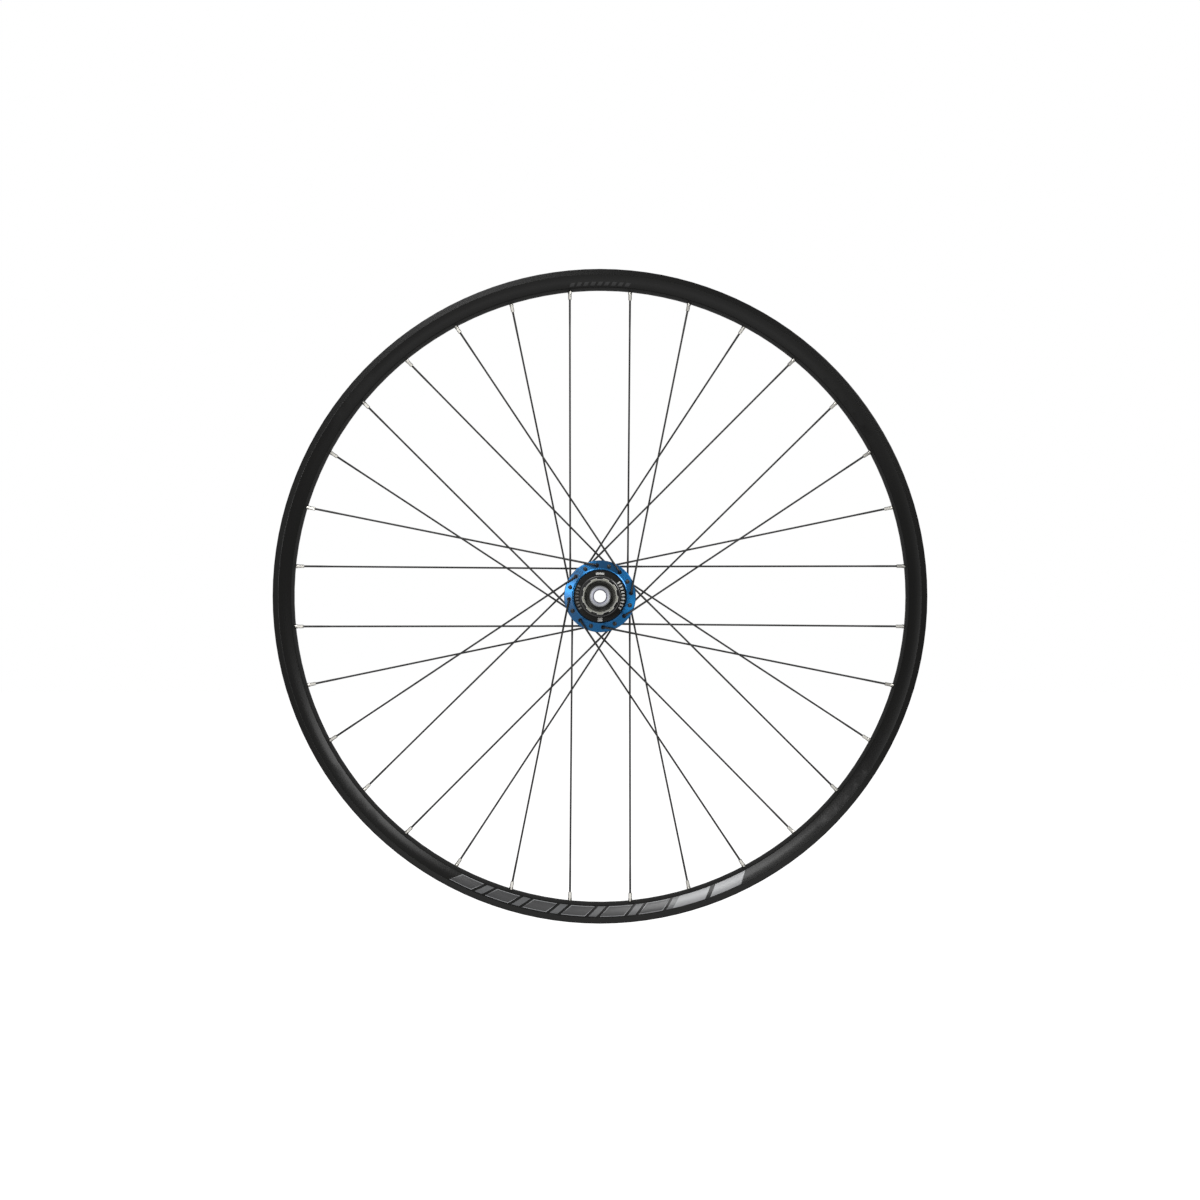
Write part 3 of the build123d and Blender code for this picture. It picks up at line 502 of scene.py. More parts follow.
class GeometryRule:
    """A Geometry Nodes tree with named inputs, and the pieces made with it."""

    def __init__(self, name: str, inputs: Mapping[str, object]) -> None:
        """Start a tree.

        Args:
            name: The tree's name.
            inputs: Default of each named input.
        """
        self.tree = bpy.data.node_groups.new(name, "GeometryNodeTree")
        self.tree.is_modifier = True
        self.tree.interface.new_socket("Geometry", in_out="OUTPUT", socket_type="NodeSocketGeometry")
        self.wires = Wiring(self.tree)
        self.given = self.wires.take(inputs)

    def close(self, geometry: Socket) -> None:
        """End the tree with real geometry and its material."""
        real = self.wires.node("GeometryNodeRealizeInstances", {0: geometry})
        dressed = self.wires.node("GeometryNodeSetMaterial", {
            "Geometry": real.outputs[0], "Material": self.given["Material"]})
        self.wires.node("NodeGroupOutput", {"Geometry": dressed.outputs[0]})

    def make(self, name: str, values: dict[str, object]) -> bpy.types.Object:
        """Run the tree and keep the result as a plain mesh.

        Args:
            name: Name of the new piece.
            values: A value for each named input that differs from its default.

        Returns:
            The new piece, at the origin.
        """
        carrier = add_object(f"{name}_carrier", bpy.data.meshes.new(f"{name}_carrier"))
        modifier = carrier.modifiers.new("rule", "NODES")
        modifier.node_group = self.tree
        for item in self.tree.interface.items_tree:
            if item.item_type == "SOCKET" and item.in_out == "INPUT" and item.name in values:
                modifier[item.identifier] = values[item.name]
        bpy.context.view_layer.update()
        graph = bpy.context.evaluated_depsgraph_get()
        mesh = bpy.data.meshes.new_from_object(carrier.evaluated_get(graph))
        mesh.name = name
        bpy.data.objects.remove(carrier)
        return add_object(name, mesh)


class ArcBlocks(GeometryRule):
    """A row of slanted blocks that follows an arc on a bowed cone about the axle."""

    BLOCK_ROWS = 7
    HALF_BLOCK = 0.5
    RING_SEGMENTS = 145

    def __init__(self) -> None:
        """Build the tree."""
        super().__init__("arc_blocks", {
            "Count": 6, "Fill": 0.7, "Start Angle": 0.0, "Sweep": 0.5, "Slant": 0.0,
            "Inner Radius": 0.3, "Outer Radius": 0.31, "Inner Y": 0.0, "Outer Y": 0.0, "Bow": 0.0,
            "Thickness": 0.05 * MM, "Segments": 9, "Material": None,
        })
        wires, given = self.wires, self.given
        row = wires.node("GeometryNodeMeshLine", {"Count": given["Count"], "Offset": (1.0, 0.0, 0.0)},
                         mode="OFFSET")
        block = wires.node("GeometryNodeMeshGrid", {
            "Size X": 1.0, "Size Y": 1.0, "Vertices X": given["Segments"], "Vertices Y": self.BLOCK_ROWS})
        scale = wires.node("ShaderNodeCombineXYZ", {"X": given["Fill"], "Y": 1.0, "Z": 1.0})
        spread = wires.node("GeometryNodeInstanceOnPoints", {
            "Points": row.outputs[0], "Instance": block.outputs[0], "Scale": scale.outputs[0]})
        flat = wires.node("GeometryNodeRealizeInstances", {0: spread.outputs[0]})
        laid = self._merge(self._lay_on_cone(flat.outputs[0]))
        thick = wires.node("GeometryNodeExtrudeMesh", {
            "Mesh": laid, "Offset Scale": given["Thickness"], "Individual": False}, mode="FACES")
        back = wires.node("GeometryNodeFlipFaces", {0: laid})
        both = wires.node("GeometryNodeJoinGeometry")
        for shell in (thick.outputs["Mesh"], back.outputs[0]):
            wires.feed(both.inputs[0], shell)
        self.close(self._merge(both.outputs[0]))

    def _merge(self, geometry: Socket) -> Socket:
        """Join points that lie on each other, such as the two ends of a full ring."""
        return self.wires.node("GeometryNodeMergeByDistance", {
            "Geometry": geometry, "Distance": MERGE_DISTANCE}).outputs[0]

    def ring(self, name: str, inner: tuple[float, float], outer: tuple[float, float], thickness: float,
             finish: bpy.types.Material) -> bpy.types.Object:
        """Make a whole conical ring that faces the drive side.

        Args:
            name: Name of the new piece.
            inner: Radius and Y of the inner edge of its foot.
            outer: Radius and Y of the outer edge of its foot.
            thickness: How far it stands off its foot.
            finish: Its material.

        Returns:
            The new piece.
        """
        return self.make(name, {
            "Count": 1, "Fill": 1.0, "Sweep": -tau, "Inner Radius": inner[0], "Outer Radius": outer[0],
            "Inner Y": inner[1], "Outer Y": outer[1], "Thickness": thickness,
            "Segments": self.RING_SEGMENTS, "Material": finish,
        })

    def _lay_on_cone(self, geometry: Socket) -> Socket:
        """Bend the flat row round the axle and on to the bowed cone."""
        wires, given = self.wires, self.given
        place = wires.split(wires.node("GeometryNodeInputPosition").outputs[0])
        height = place["Y"]
        share = wires.math("ADD", height, self.HALF_BLOCK)
        leaned = wires.math("ADD", place["X"], wires.math("MULTIPLY", given["Slant"], height))
        pitch = wires.math("DIVIDE", given["Sweep"], given["Count"])
        angle = wires.math("ADD", given["Start Angle"],
                           wires.math("MULTIPLY", wires.math("ADD", leaned, self.HALF_BLOCK), pitch))
        radius = wires.spread(share, given["Inner Radius"], given["Outer Radius"])
        rest = wires.math("SUBTRACT", 1.0, share)
        hump = wires.math("MULTIPLY", wires.math("MULTIPLY", share, rest), HUMP)
        cone = wires.spread(share, given["Inner Y"], given["Outer Y"])
        moved = wires.node("ShaderNodeCombineXYZ", {
            "X": wires.math("MULTIPLY", radius, wires.math("COSINE", angle)),
            "Y": wires.math("ADD", cone, wires.math("MULTIPLY", hump, given["Bow"])),
            "Z": wires.math("MULTIPLY", radius, wires.math("SINE", angle)),
        })
        return wires.node("GeometryNodeSetPosition", {
            "Geometry": geometry, "Position": moved.outputs[0]}).outputs[0]


class ThreadRule(GeometryRule):
    """Internal screw threads about lines parallel to the axle, spaced round a circle.

    The circle's points number three at least, and those past the wanted number of holes stay empty.
    """

    RIDGE_SIDES = 4
    LEAST_POINTS = 3

    def __init__(self) -> None:
        """Build the tree."""
        super().__init__("internal_thread", {
            "Holes": 1, "Hole Circle": 0.0, "Bore Radius": 10 * MM, "Ridge": 0.3 * MM, "Turns": 6.0,
            "Length": 6 * MM, "Start Y": 0.0, "Resolution": 48, "Material": None,
        })
        wires, given = self.wires, self.given
        helix = wires.node("GeometryNodeCurveSpiral", {
            "Resolution": given["Resolution"], "Rotations": given["Turns"], "Height": given["Length"],
            "Start Radius": given["Bore Radius"], "End Radius": given["Bore Radius"]})
        ridge = wires.node("GeometryNodeCurvePrimitiveCircle", {
            "Resolution": self.RIDGE_SIDES, "Radius": given["Ridge"]}, mode="RADIUS")
        swept = wires.node("GeometryNodeCurveToMesh", {
            "Curve": helix.outputs[0], "Profile Curve": ridge.outputs[0], "Fill Caps": True})
        points = wires.math("MAXIMUM", given["Holes"], self.LEAST_POINTS)
        holes = wires.node("GeometryNodeMeshCircle", {"Vertices": points, "Radius": given["Hole Circle"]})
        index = wires.node("GeometryNodeInputIndex").outputs[0]
        kept = wires.node("GeometryNodeInstanceOnPoints", {
            "Points": holes.outputs[0], "Instance": swept.outputs[0],
            "Selection": wires.math("LESS_THAN", index, given["Holes"])})
        shift = wires.node("ShaderNodeCombineXYZ", {"Y": given["Start Y"]})
        placed = wires.node("GeometryNodeTransform", {
            "Geometry": kept.outputs[0], "Rotation": (radians(-90), 0.0, 0.0),
            "Translation": shift.outputs[0]})
        self.close(placed.outputs[0])


def seat(piece: bpy.types.Object, body: Body) -> None:
    """Let a new piece ride on a body."""
    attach(piece, body.value)
    LOG.info("%s: %d faces on %s", piece.name, len(piece.data.polygons), body.value)


def dress(material: bpy.types.Material, *names: str) -> None:
    """Give CAD nodes a finish."""
    for name in names:
        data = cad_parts[name].data
        if not data.materials:
            data.materials.append(material)
        for index in range(len(data.materials)):
            data.materials[index] = material
        LOG.info("%s: dressed with %s", name, material.name)


# Sub-assemblies

class Ink(Enum):
    """Ink of a printed row."""

    GREY = "grey"
    LIGHT = "light"
    FAINT = "faint"
    DIM = "dim"


@dataclass(frozen=True)
class PrintRow:
    """One row of slanted blocks on a side wall. Angles run from +X towards +Z, in degrees.

    Radii are measured from the axle. Fill is the share of the row that is printed, slant is the lean of its
    blocks in block widths, and level is how far the ink stands off the wall.
    """

    name: str
    ink: Ink
    middle: float
    sweep: float
    count: int
    fill: float
    slant: float
    inner: float
    outer: float
    level: float


@dataclass
class RimDress:
    """The rim's finish and the printed blocks on its side walls.

    Crease and shoulder are a side wall's outer and inner edge, each given by its radius and its distance from
    the middle of the rim. Bow is how far the wall bulges between them, and root is how deep the print starts.
    """

    crease_radius: float = 311.4 * MM
    crease_half: float = 15.6 * MM
    shoulder_radius: float = 299.8 * MM
    shoulder_half: float = 10.2 * MM
    wall_bow: float = 0.66 * MM
    print_root: float = 0.05 * MM
    satin: Finish = BeddedFinish("rim_satin_black", (0.0007, 0.0007, 0.0006), (0.0016, 0.0015, 0.0013),
                                 0.255, 0.285, specular=0.102, patch_size=60 * MM, grain_depth=0.0003 * MM)
    grey: Finish = Finish("rim_print_grey", (0.033, 0.034, 0.035), (0.048, 0.049, 0.051), 0.26, 0.34,
                          specular=0.3)
    light: Finish = Finish("rim_print_light", (0.1, 0.102, 0.105), (0.14, 0.142, 0.146), 0.26, 0.34,
                           specular=0.3)
    faint: Finish = Finish("rim_print_faint", (0.0115, 0.0115, 0.012), (0.019, 0.019, 0.0195), 0.26, 0.34,
                           specular=0.27)
    dim: Finish = Finish("rim_print_dim", (0.0055, 0.0055, 0.0055), (0.0095, 0.0095, 0.0095), 0.26, 0.34,
                         specular=0.18)
    rows: tuple[PrintRow, ...] = (
        PrintRow("print_outlines", Ink.LIGHT, 262.5, 42.0, 6, 0.62, 0.25, 300.6 * MM, 310.0 * MM, 0.1 * MM),
        PrintRow("print_bars", Ink.FAINT, 262.5, 42.0, 6, 0.593, 0.25, 301.1 * MM, 309.5 * MM, 0.14 * MM),
        PrintRow("print_stripes", Ink.GREY, 266.0, 42.0, 6, 0.2, 0.25, 300.6 * MM, 310.0 * MM, 0.1 * MM),
        PrintRow("print_end_bars", Ink.LIGHT, 290.5, 14.0, 2, 0.86, 0.25, 300.6 * MM, 310.0 * MM, 0.1 * MM),
        PrintRow("print_dashes", Ink.DIM, 90.0, 11.4, 9, 0.62, 0.3, 301.4 * MM, 304.8 * MM, 0.1 * MM),
    )

    def share(self, radius: float) -> float:
        """Place of a radius on the side wall, from 0 at the shoulder to 1 at the crease."""
        return (radius - self.shoulder_radius) / (self.crease_radius - self.shoulder_radius)

    def wall_y(self, radius: float) -> float:
        """Distance of the side wall from the middle of the rim at a radius."""
        share = self.share(radius)
        line = self.shoulder_half + share * (self.crease_half - self.shoulder_half)
        return line + HUMP * self.wall_bow * share * (1.0 - share)

    def lay(self, rule: ArcBlocks, ink: bpy.types.Material, row: PrintRow, side: Side) -> None:
        """Lay one printed row on a side wall, mirrored on the brake side.

        Args:
            rule: The tree that makes the row.
            ink: Material of the print.
            row: What to print.
            side: Side of the wheel.
        """
        way = side.value
        middle = row.middle if side is Side.DRIVE else 180.0 - row.middle
        span = self.share(row.outer) - self.share(row.inner)
        piece = rule.make(f"rim_{row.name}_{side.name.lower()}", {
            "Count": row.count, "Fill": row.fill, "Start Angle": radians(middle - way * row.sweep / 2),
            "Sweep": radians(way * row.sweep), "Slant": row.slant,
            "Inner Radius": row.inner, "Outer Radius": row.outer,
            "Inner Y": way * (self.wall_y(row.inner) - self.print_root),
            "Outer Y": way * (self.wall_y(row.outer) - self.print_root),
            "Bow": way * self.wall_bow * span * span,
            "Thickness": self.print_root + row.level, "Material": ink,
        })
        seat(piece, Body.WHEEL)

    def build(self, groups: SurfaceGroups, rule: ArcBlocks) -> None:
        """Finish the rim and print it."""
        dress(self.satin.build(groups), "rim")
        inks = {
            Ink.GREY: self.grey.build(groups),
            Ink.LIGHT: self.light.build(groups),
            Ink.FAINT: self.faint.build(groups),
            Ink.DIM: self.dim.build(groups),
        }
        for side in Side:
            for row in self.rows:
                self.lay(rule, inks[row.ink], row, side)


@dataclass
class LacingDress:
    """Finishes of the spokes and nipples."""

    spoke: Finish = Finish("spoke_black_oxide", (0.004, 0.004, 0.004), (0.009, 0.009, 0.0085), 0.3, 0.45,
                           specular=0.17, grain_size=0.5 * MM)
    nipple: Finish = Finish("nipple_nickel", (0.2, 0.195, 0.18), (0.29, 0.282, 0.262), 0.22, 0.34,
                            metallic=1.0, grain_size=0.3 * MM, grain_depth=0.0015 * MM)

    def build(self, groups: SurfaceGroups) -> None:
        """Dress the spokes and the nipples."""
        dress(self.spoke.build(groups), "spokes_drive_outer", "spokes_drive_inner", "spokes_brake_outer",
              "spokes_brake_inner")
        dress(self.nipple.build(groups), "nipples_drive", "nipples_brake")


@dataclass
class HubDress:
    """Finish of the hub shell, the bevel of its lip and the threads in its rotor mount.

    The lip's two edges are each given by radius and Y, and the bolt circle by its radius. Setback is how far
    a thread starts behind the rotor face.
    """

    rotor_face_y: float = 55.2 * MM
    rotor_bolts: int = 6
    rotor_bolt_circle: float = 22.0 * MM
    rotor_hole_radius: float = 2.1 * MM
    rotor_thread_length: float = 9.0 * MM
    rotor_thread_pitch: float = 0.8 * MM
    rotor_thread_ridge: float = 0.3 * MM
    rotor_thread_setback: float = 0.4 * MM
    rotor_thread_resolution: int = 20
    lip_inner: tuple[float, float] = (26.15 * MM, -25.24 * MM)
    lip_outer: tuple[float, float] = (27.0 * MM, -24.8 * MM)
    lip_thickness: float = 0.16 * MM
    # The shell's finish paints shade into its spoke holes
    blue: Finish = PiercedFinish("hub_blue_anodised", (0.0014, 0.046, 0.123), (0.0022, 0.057, 0.148),
                                 0.26, 0.31, metallic=1.0, grain_depth=0.0008 * MM, feed=0.22 * MM,
                                 turning_depth=0.0012 * MM, anisotropy=0.95, coat=0.22)
    bright: Finish = Finish("hub_lip_polished", (0.002, 0.05, 0.135), (0.003, 0.062, 0.16), 0.3, 0.36,
                            metallic=1.0, grain_depth=0.0005 * MM, coat=0.3, coat_roughness=0.2)
    cut: Finish = Finish("rotor_thread_cut", (0.01, 0.08, 0.18), (0.03, 0.12, 0.22), 0.3, 0.45,
                         metallic=1.0)

    def build(self, groups: SurfaceGroups, rule: ArcBlocks, thread: ThreadRule) -> None:
        """Dress the shell, bevel its lip and cut the rotor threads."""
        dress(self.blue.build(groups), "hub_shell")
        lip = rule.ring("hub_lip_bevel", self.lip_inner, self.lip_outer, self.lip_thickness,
                        self.bright.build(groups))
        seat(lip, Body.WHEEL)
        piece = thread.make("rotor_bolt_threads", {
            "Holes": self.rotor_bolts, "Hole Circle": self.rotor_bolt_circle,
            "Bore Radius": self.rotor_hole_radius, "Ridge": self.rotor_thread_ridge,
            "Turns": self.rotor_thread_length / self.rotor_thread_pitch, "Length": self.rotor_thread_length,
            "Start Y": self.rotor_face_y - self.rotor_thread_length - self.rotor_thread_setback,
            "Resolution": self.rotor_thread_resolution, "Material": self.cut.build(groups),
        })
        seat(piece, Body.WHEEL)


class Etching(Enum):
    """Strength of an etched mark."""

    BRIGHT = "bright"
    DULL = "dull"


@dataclass(frozen=True)
class TickArc:
    """One arc of ticks on the seal ring. Angles run from +X towards +Z, in degrees.

    Radii are measured from the axle, and fill is the share of the arc that is etched.
    """

    name: str
    etching: Etching
    middle: float
    sweep: float
    count: int
    fill: float
    inner: float
    outer: float


@dataclass
class FreehubDress:
    """Finishes of the freehub, the bevel of its stop flange, its lockring thread and its ring's etched ticks.

    The stop flange's two edges are each given by radius and Y. Setback is how far the thread starts behind
    the freehub's end.
    """

    end_y: float = -69.5 * MM
    mouth_radius: float = 14.8 * MM
    lockring_thread_length: float = 7.4 * MM
    lockring_thread_pitch: float = 1.06 * MM
    lockring_thread_ridge: float = 0.38 * MM
    lockring_thread_setback: float = 0.7 * MM
    ring_face_y: float = -25.6 * MM
    tick_thickness: float = 0.02 * MM
    tick_segments: int = 7
    stop_inner: tuple[float, float] = (18.85 * MM, -34.5 * MM)
    stop_outer: tuple[float, float] = (19.5 * MM, -34.12 * MM)
    stop_thickness: float = 0.15 * MM
    # The body's faced end has painted shade on its flat face
    body: FacedFinish = FacedFinish("freehub_black_anodised", (0.003, 0.003, 0.003), (0.007, 0.007, 0.0065),
                                    0.34, 0.48, specular=0.14, feed=0.3 * MM, turning_depth=0.004 * MM,
                                    bare=(0.42, 0.42, 0.4), face_y=-69.05 * MM, flat=(0.1, 0.1, 0.085),
                                    flat_y=-69.48 * MM, recess=(0.035, 0.035, 0.029),
                                    recess_radius=14.85 * MM, recess_y=-55.0 * MM)
    ring: Finish = Finish("seal_ring_black", (0.0022, 0.0022, 0.002), (0.0046, 0.0046, 0.004), 0.35, 0.48,
                          specular=0.07, feed=0.3 * MM, turning_depth=0.004 * MM)
    edge: Finish = Finish("stop_flange_edge", (0.004, 0.004, 0.004), (0.008, 0.008, 0.0075), 0.26, 0.34)
    etched: Finish = Finish("etched_grey", (0.22, 0.22, 0.21), (0.28, 0.28, 0.269), 0.45, 0.6, specular=0.3,
                            grain_depth=0.001 * MM)
    dull: Finish = Finish("etched_dull_grey", (0.05, 0.05, 0.048), (0.075, 0.075, 0.072), 0.45, 0.6,
                          specular=0.2, grain_depth=0.001 * MM)
    cut: Finish = Finish("lockring_thread_cut", (0.06, 0.06, 0.052), (0.13, 0.13, 0.115), 0.3, 0.45,
                         metallic=1.0)
    arcs: tuple[TickArc, ...] = (
        TickArc("bar_top", Etching.BRIGHT, 90.0, 21.0, 1, 1.0, 20.9 * MM, 23.0 * MM),
        TickArc("ticks_front", Etching.BRIGHT, 2.5, 75.0, 9, 0.5, 20.7 * MM, 23.8 * MM),
        TickArc("ticks_rear", Etching.DULL, 182.5, 65.0, 8, 0.5, 20.7 * MM, 23.8 * MM),
        TickArc("square_bottom", Etching.BRIGHT, 270.0, 11.2, 1, 1.0, 20.7 * MM, 24.4 * MM),
    )

    def etch(self, rule: ArcBlocks, ink: bpy.types.Material, arc: TickArc) -> None:
        """Etch one arc of ticks on the face of the seal ring.

        Args:
            rule: The tree that makes the row.
            ink: Material of the etching.
            arc: What to etch.
        """
        piece = rule.make(f"seal_ring_{arc.name}", {
            "Count": arc.count, "Fill": arc.fill, "Start Angle": radians(arc.middle + arc.sweep / 2),
            "Sweep": radians(-arc.sweep), "Inner Radius": arc.inner, "Outer Radius": arc.outer,
            "Inner Y": self.ring_face_y, "Outer Y": self.ring_face_y, "Thickness": self.tick_thickness,
            "Segments": self.tick_segments, "Material": ink,
        })
        seat(piece, Body.FREEHUB)

    def build(self, groups: SurfaceGroups, rule: ArcBlocks, thread: ThreadRule) -> None:
        """Dress the freehub, bevel its stop flange, etch its ring and cut its thread."""
        dress(self.body.build(groups), "freehub_body")
        dress(self.ring.build(groups), "freehub_seal")
        stop = rule.ring("stop_flange_bevel", self.stop_inner, self.stop_outer, self.stop_thickness,
                         self.edge.build(groups))
        seat(stop, Body.FREEHUB)
        etchings = {Etching.BRIGHT: self.etched.build(groups), Etching.DULL: self.dull.build(groups)}
        for arc in self.arcs:
            self.etch(rule, etchings[arc.etching], arc)
        piece = thread.make("lockring_thread", {
            "Bore Radius": self.mouth_radius, "Ridge": self.lockring_thread_ridge,
            "Turns": self.lockring_thread_length / self.lockring_thread_pitch,
            "Length": self.lockring_thread_length, "Start Y": self.end_y + self.lockring_thread_setback,
            "Material": self.cut.build(groups),
        })
        seat(piece, Body.FREEHUB)


@dataclass
class AxleDress:
    """Finishes of the end caps, the axle and the pieces inside the hub."""

    cap: Finish = BoredFinish("cap_turned_aluminium", (0.142, 0.145, 0.151), (0.188, 0.192, 0.2), 0.26, 0.34,
                              metallic=1.0, grain_depth=0.0006 * MM, feed=0.3 * MM, turning_depth=0.0012 * MM,
                              anisotropy=0.4, bore_tone=(0.15, 0.153, 0.177))
    turned: Finish = Finish("axle_turned_aluminium", (0.36, 0.366, 0.38), (0.44, 0.448, 0.465), 0.24, 0.32,
                            metallic=1.0, grain_depth=0.001 * MM, feed=0.3 * MM, turning_depth=0.002 * MM,
                            anisotropy=0.7)
    steel: Finish = Finish("bearing_steel", (0.4, 0.4, 0.4), (0.52, 0.52, 0.52), 0.12, 0.25, metallic=1.0)
    tool: Finish = Finish("hardened_steel", (0.16, 0.16, 0.17), (0.26, 0.26, 0.26), 0.3, 0.45, metallic=1.0)
    rubber: Finish = Finish("seal_rubber", (0.008, 0.008, 0.007), (0.018, 0.018, 0.015), 0.55, 0.75,
                            specular=0.2, grain_size=0.4 * MM)
    lip: Finish = Finish("dust_seal_olive_rubber", (0.01, 0.01, 0.008), (0.018, 0.018, 0.0145), 0.55, 0.75,
                         specular=0.2, grain_size=0.4 * MM)
    bearings: tuple[str, ...] = ("hub_drive_bearing", "hub_brake_bearing", "freehub_inner_bearing",
                                 "freehub_outer_bearing")

    def build(self, groups: SurfaceGroups) -> None:
        """Dress the pieces on and about the axle."""
        dress(self.cap.build(groups), "drive_end_cap", "brake_end_cap")
        dress(self.turned.build(groups), "axle", "freehub_spacer", "hub_spacer")
        parts = ("outer_race", "inner_race", "balls")
        races = [f"{name}_{part}" for name in self.bearings for part in parts]
        dress(self.steel.build(groups), *races)
        pawls = [f"pawl_{number}" for number in range(1, PAWL_COUNT + 1)]
        dress(self.tool.build(groups), "ratchet_ring", "pawl_springs", *pawls)
        seals = [f"{name}_seals" for name in self.bearings]
        dress(self.lip.build(groups), "drive_dust_seal", "brake_dust_seal")
        dress(self.rubber.build(groups), "drive_cap_ring", "brake_cap_ring", *seals)


@dataclass
class SpringDress:
    """Leaf springs under the pawls, each copied into a piece of its own.

    Angles run from +X towards +Z, in degrees. Lead is how far a spring lies ahead of its pawl's pivot.
    Lean, the tilt of its slot's floor, and pressed, the share of its height that a spring keeps under a
    folded pawl, are not used.
    """

    node: str = "pawl_springs"
    pitch: float = 360.0 / PAWL_COUNT
    first_pawl: float = 30.0
    spring_lead: float = 14.0
    slot_radius: float = 16.52 * MM
    slot_lean: float = 9.55
    pressed: float = 0.42

    def leaf(self, number: int) -> bpy.types.Object:
        """Copy one spring of the CAD node into a piece of its own.

        Args:
            number: Number of the pawl that it lifts, from 1.

        Returns:
            The new piece.
        """
        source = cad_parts[self.node].data
        shape = bmesh.new()
        for face in source.polygons:
            angle = degrees(atan2(face.center.z, face.center.x)) + self.spring_lead - self.first_pawl
            if round(angle / self.pitch) % PAWL_COUNT == number - 1:
                shape.faces.new([shape.verts.new(source.vertices[index].co) for index in face.vertices])
        bmesh.ops.remove_doubles(shape, verts=shape.verts, dist=MERGE_DISTANCE)
        mesh = bpy.data.meshes.new(f"pawl_spring_{number}")
        shape.to_mesh(mesh)
        shape.free()
        mesh.materials.append(source.materials[0])
        return add_object(mesh.name, mesh)

    def build(self) -> None:
        """Make the springs, which stand for the CAD node."""
        for number in range(1, PAWL_COUNT + 1):
            piece = self.leaf(number)
            seat(piece, Body.FREEHUB)
            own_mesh(piece)
            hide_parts(self.node)


# Studio

@dataclass(frozen=True)
class Lamp:
    """A soft rectangular lamp that faces the wheel. Its power is in watts."""

    name: str
    place: Point
    width: float
    height: float
    power: float


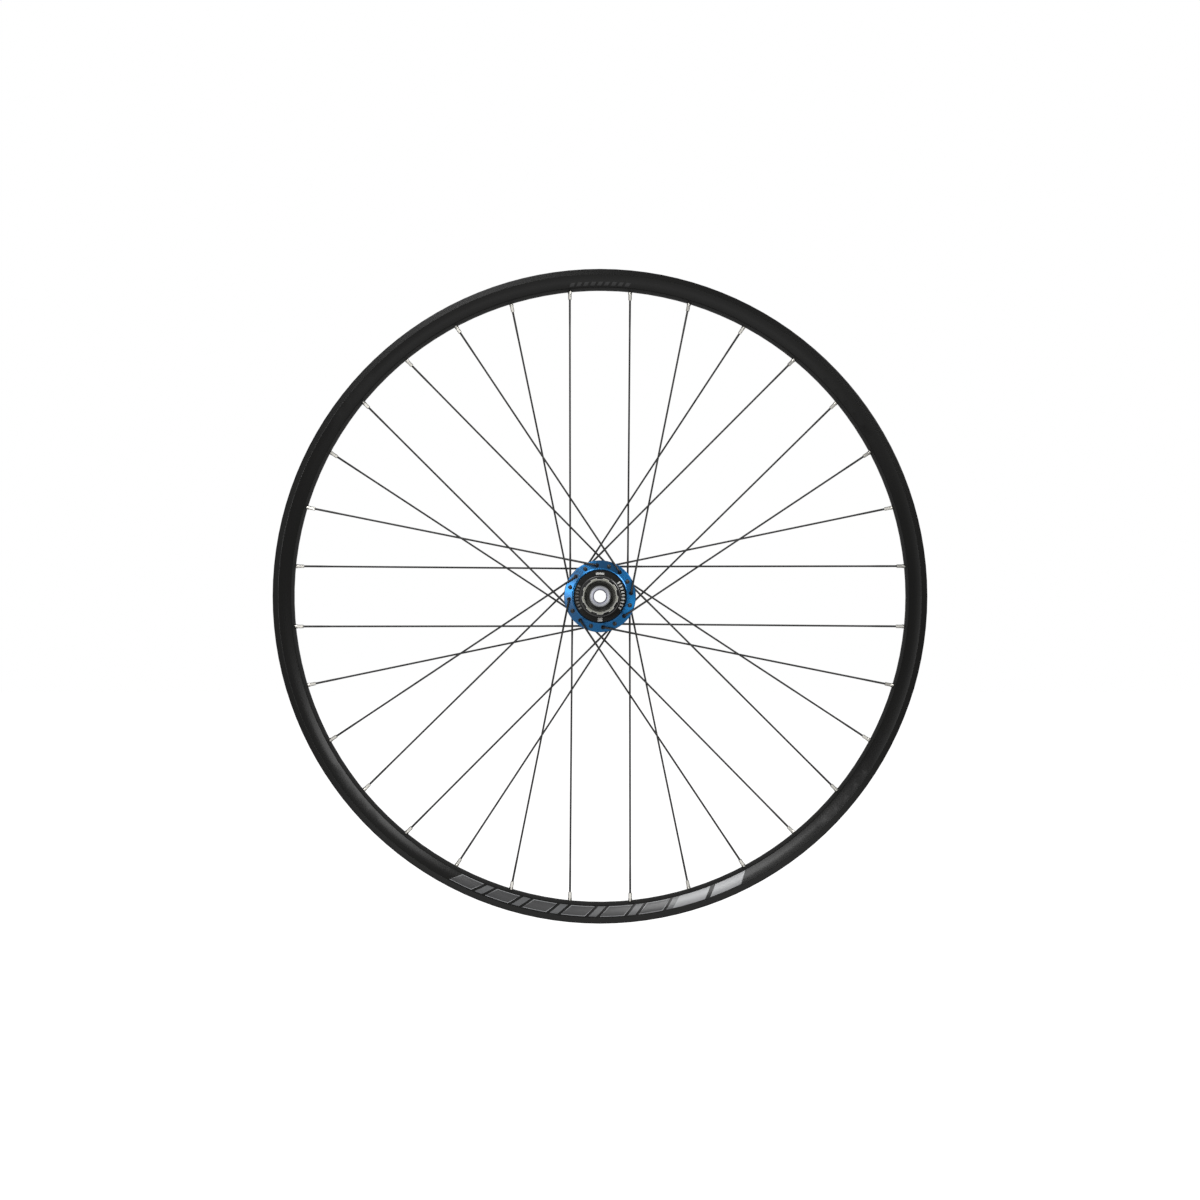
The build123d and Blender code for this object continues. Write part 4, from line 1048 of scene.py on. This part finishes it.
@dataclass
class Studio:
    """Camera at the photograph's place, pale floor and soft light.

    Frame width is what the picture spans at the axle, and centre pixel is where the axle lies in a picture of
    image size. The floor's glow is given near the wheel and far from it, and fade is where it rises between
    the two.
    """

    camera_distance: float = 2.5
    sensor_width: float = 36.0
    image_size: float = 1200.0
    frame_width: float = 1.1683
    centre_pixel: tuple[float, float] = (600.0, 596.3)
    floor_z: float = -0.66
    floor_size: float = 30.0
    floor_tone: Colour = (0.6, 0.6, 0.6)
    glow: tuple[float, float] = (0.6, 1.0)
    fade: tuple[float, float] = (0.7, 1.6)
    ambient: float = 0.16
    lamps: tuple[Lamp, ...] = (
        Lamp("upper_left", (-0.56, -1.53, 1.288), 0.62, 0.85, 41.0),
        Lamp("upper_right", (1.22, -1.28, 0.96), 0.8, 0.8, 38.0),
        Lamp("left_front", (-0.52, -2.28, 0.135), 0.2, 0.2, 14.5),
        Lamp("floor_front", (0.0, -0.85, -0.62), 1.2, 0.6, 3.6),
    )

    def camera(self) -> None:
        """Place the camera on the axle line, level, on the drive side."""
        data = bpy.data.cameras.new("camera")
        data.sensor_width = self.sensor_width
        data.lens = self.sensor_width * self.camera_distance / self.frame_width
        data.shift_x = (self.image_size / 2 - self.centre_pixel[0]) / self.image_size
        data.shift_y = (self.centre_pixel[1] - self.image_size / 2) / self.image_size
        camera = add_object("camera", data)
        camera.location = (0.0, -self.camera_distance, 0.0)
        camera.rotation_euler = (radians(90), 0.0, 0.0)
        bpy.context.scene.camera = camera

    def light(self, lamp: Lamp) -> None:
        """Put up one lamp, which the camera doesn't see."""
        data = bpy.data.lights.new(lamp.name, "AREA")
        data.shape = "RECTANGLE"
        data.size = lamp.width
        data.size_y = lamp.height
        data.energy = lamp.power
        made = add_object(lamp.name, data)
        made.location = lamp.place
        made.rotation_euler = (-Vector(lamp.place)).to_track_quat("-Z", "Y").to_euler()
        made.visible_camera = False

    @staticmethod
    def seen(wires: Wiring) -> Socket:
        """Mask of the rays that see the white background: camera, glossy and transmission rays."""
        path = wires.node("ShaderNodeLightPath").outputs
        direct = wires.math("MAXIMUM", path["Is Camera Ray"], path["Is Glossy Ray"])
        return wires.math("MAXIMUM", direct, path["Is Transmission Ray"])

    def world(self) -> None:
        """White to the camera and to reflections, a plain soft light otherwise."""
        world = bpy.data.worlds.new("studio")
        world.use_nodes = True
        bpy.context.scene.world = world
        wires = Wiring(world.node_tree)
        world.node_tree.nodes.clear()
        ambient = wires.node("ShaderNodeBackground", {"Strength": self.ambient})
        white = wires.node("ShaderNodeBackground", {"Color": (1.0, 1.0, 1.0, 1.0)})
        mix = wires.node("ShaderNodeMixShader", {
            0: self.seen(wires), 1: ambient.outputs[0], 2: white.outputs[0]})
        wires.node("ShaderNodeOutputWorld", {"Surface": mix.outputs[0]})

    def floor(self) -> None:
        """Pale floor that is white where it is lit and keeps a soft shadow."""
        half = self.floor_size / 2
        mesh = bpy.data.meshes.new("floor")
        corners = [(-half, -half), (half, -half), (half, half), (-half, half)]
        mesh.from_pydata([(x, y, self.floor_z) for x, y in corners], [], [(0, 1, 2, 3)])
        floor = add_object("floor", mesh)
        material = bpy.data.materials.new("floor_pale")
        material.use_nodes = True
        wires = Wiring(material.node_tree)
        material.node_tree.nodes.clear()
        matt = wires.node("ShaderNodeBsdfDiffuse", {"Color": (*self.floor_tone, 1.0)})
        distance = wires.node("ShaderNodeVectorMath", {0: wires.position()}, operation="LENGTH")
        away = wires.step(distance.outputs["Value"], *self.fade)
        glow = wires.node("ShaderNodeEmission", {"Strength": wires.spread(away, *self.glow)})
        white = wires.node("ShaderNodeAddShader", {0: matt.outputs[0], 1: glow.outputs[0]})
        mix = wires.node("ShaderNodeMixShader", {
            0: self.seen(wires), 1: matt.outputs[0], 2: white.outputs[0]})
        wires.node("ShaderNodeOutputMaterial", {"Surface": mix.outputs[0]})
        mesh.materials.append(material)

    def build(self) -> None:
        """Set up the camera, the lamps, the world and the floor."""
        bpy.context.scene.view_settings.view_transform = "Standard"
        self.camera()
        for lamp in self.lamps:
            self.light(lamp)
        self.world()
        self.floor()


def main() -> None:
    """Dress the wheel and set the studio round it."""
    logging.basicConfig(level=logging.INFO, format="%(name)s %(message)s")
    groups = SurfaceGroups()
    blocks = ArcBlocks()
    thread = ThreadRule()
    RimDress().build(groups, blocks)
    LacingDress().build(groups)
    HubDress().build(groups, blocks, thread)
    FreehubDress().build(groups, blocks, thread)
    AxleDress().build(groups)
    SpringDress().build()
    Studio().build()


if __name__ == "__main__":
    main()
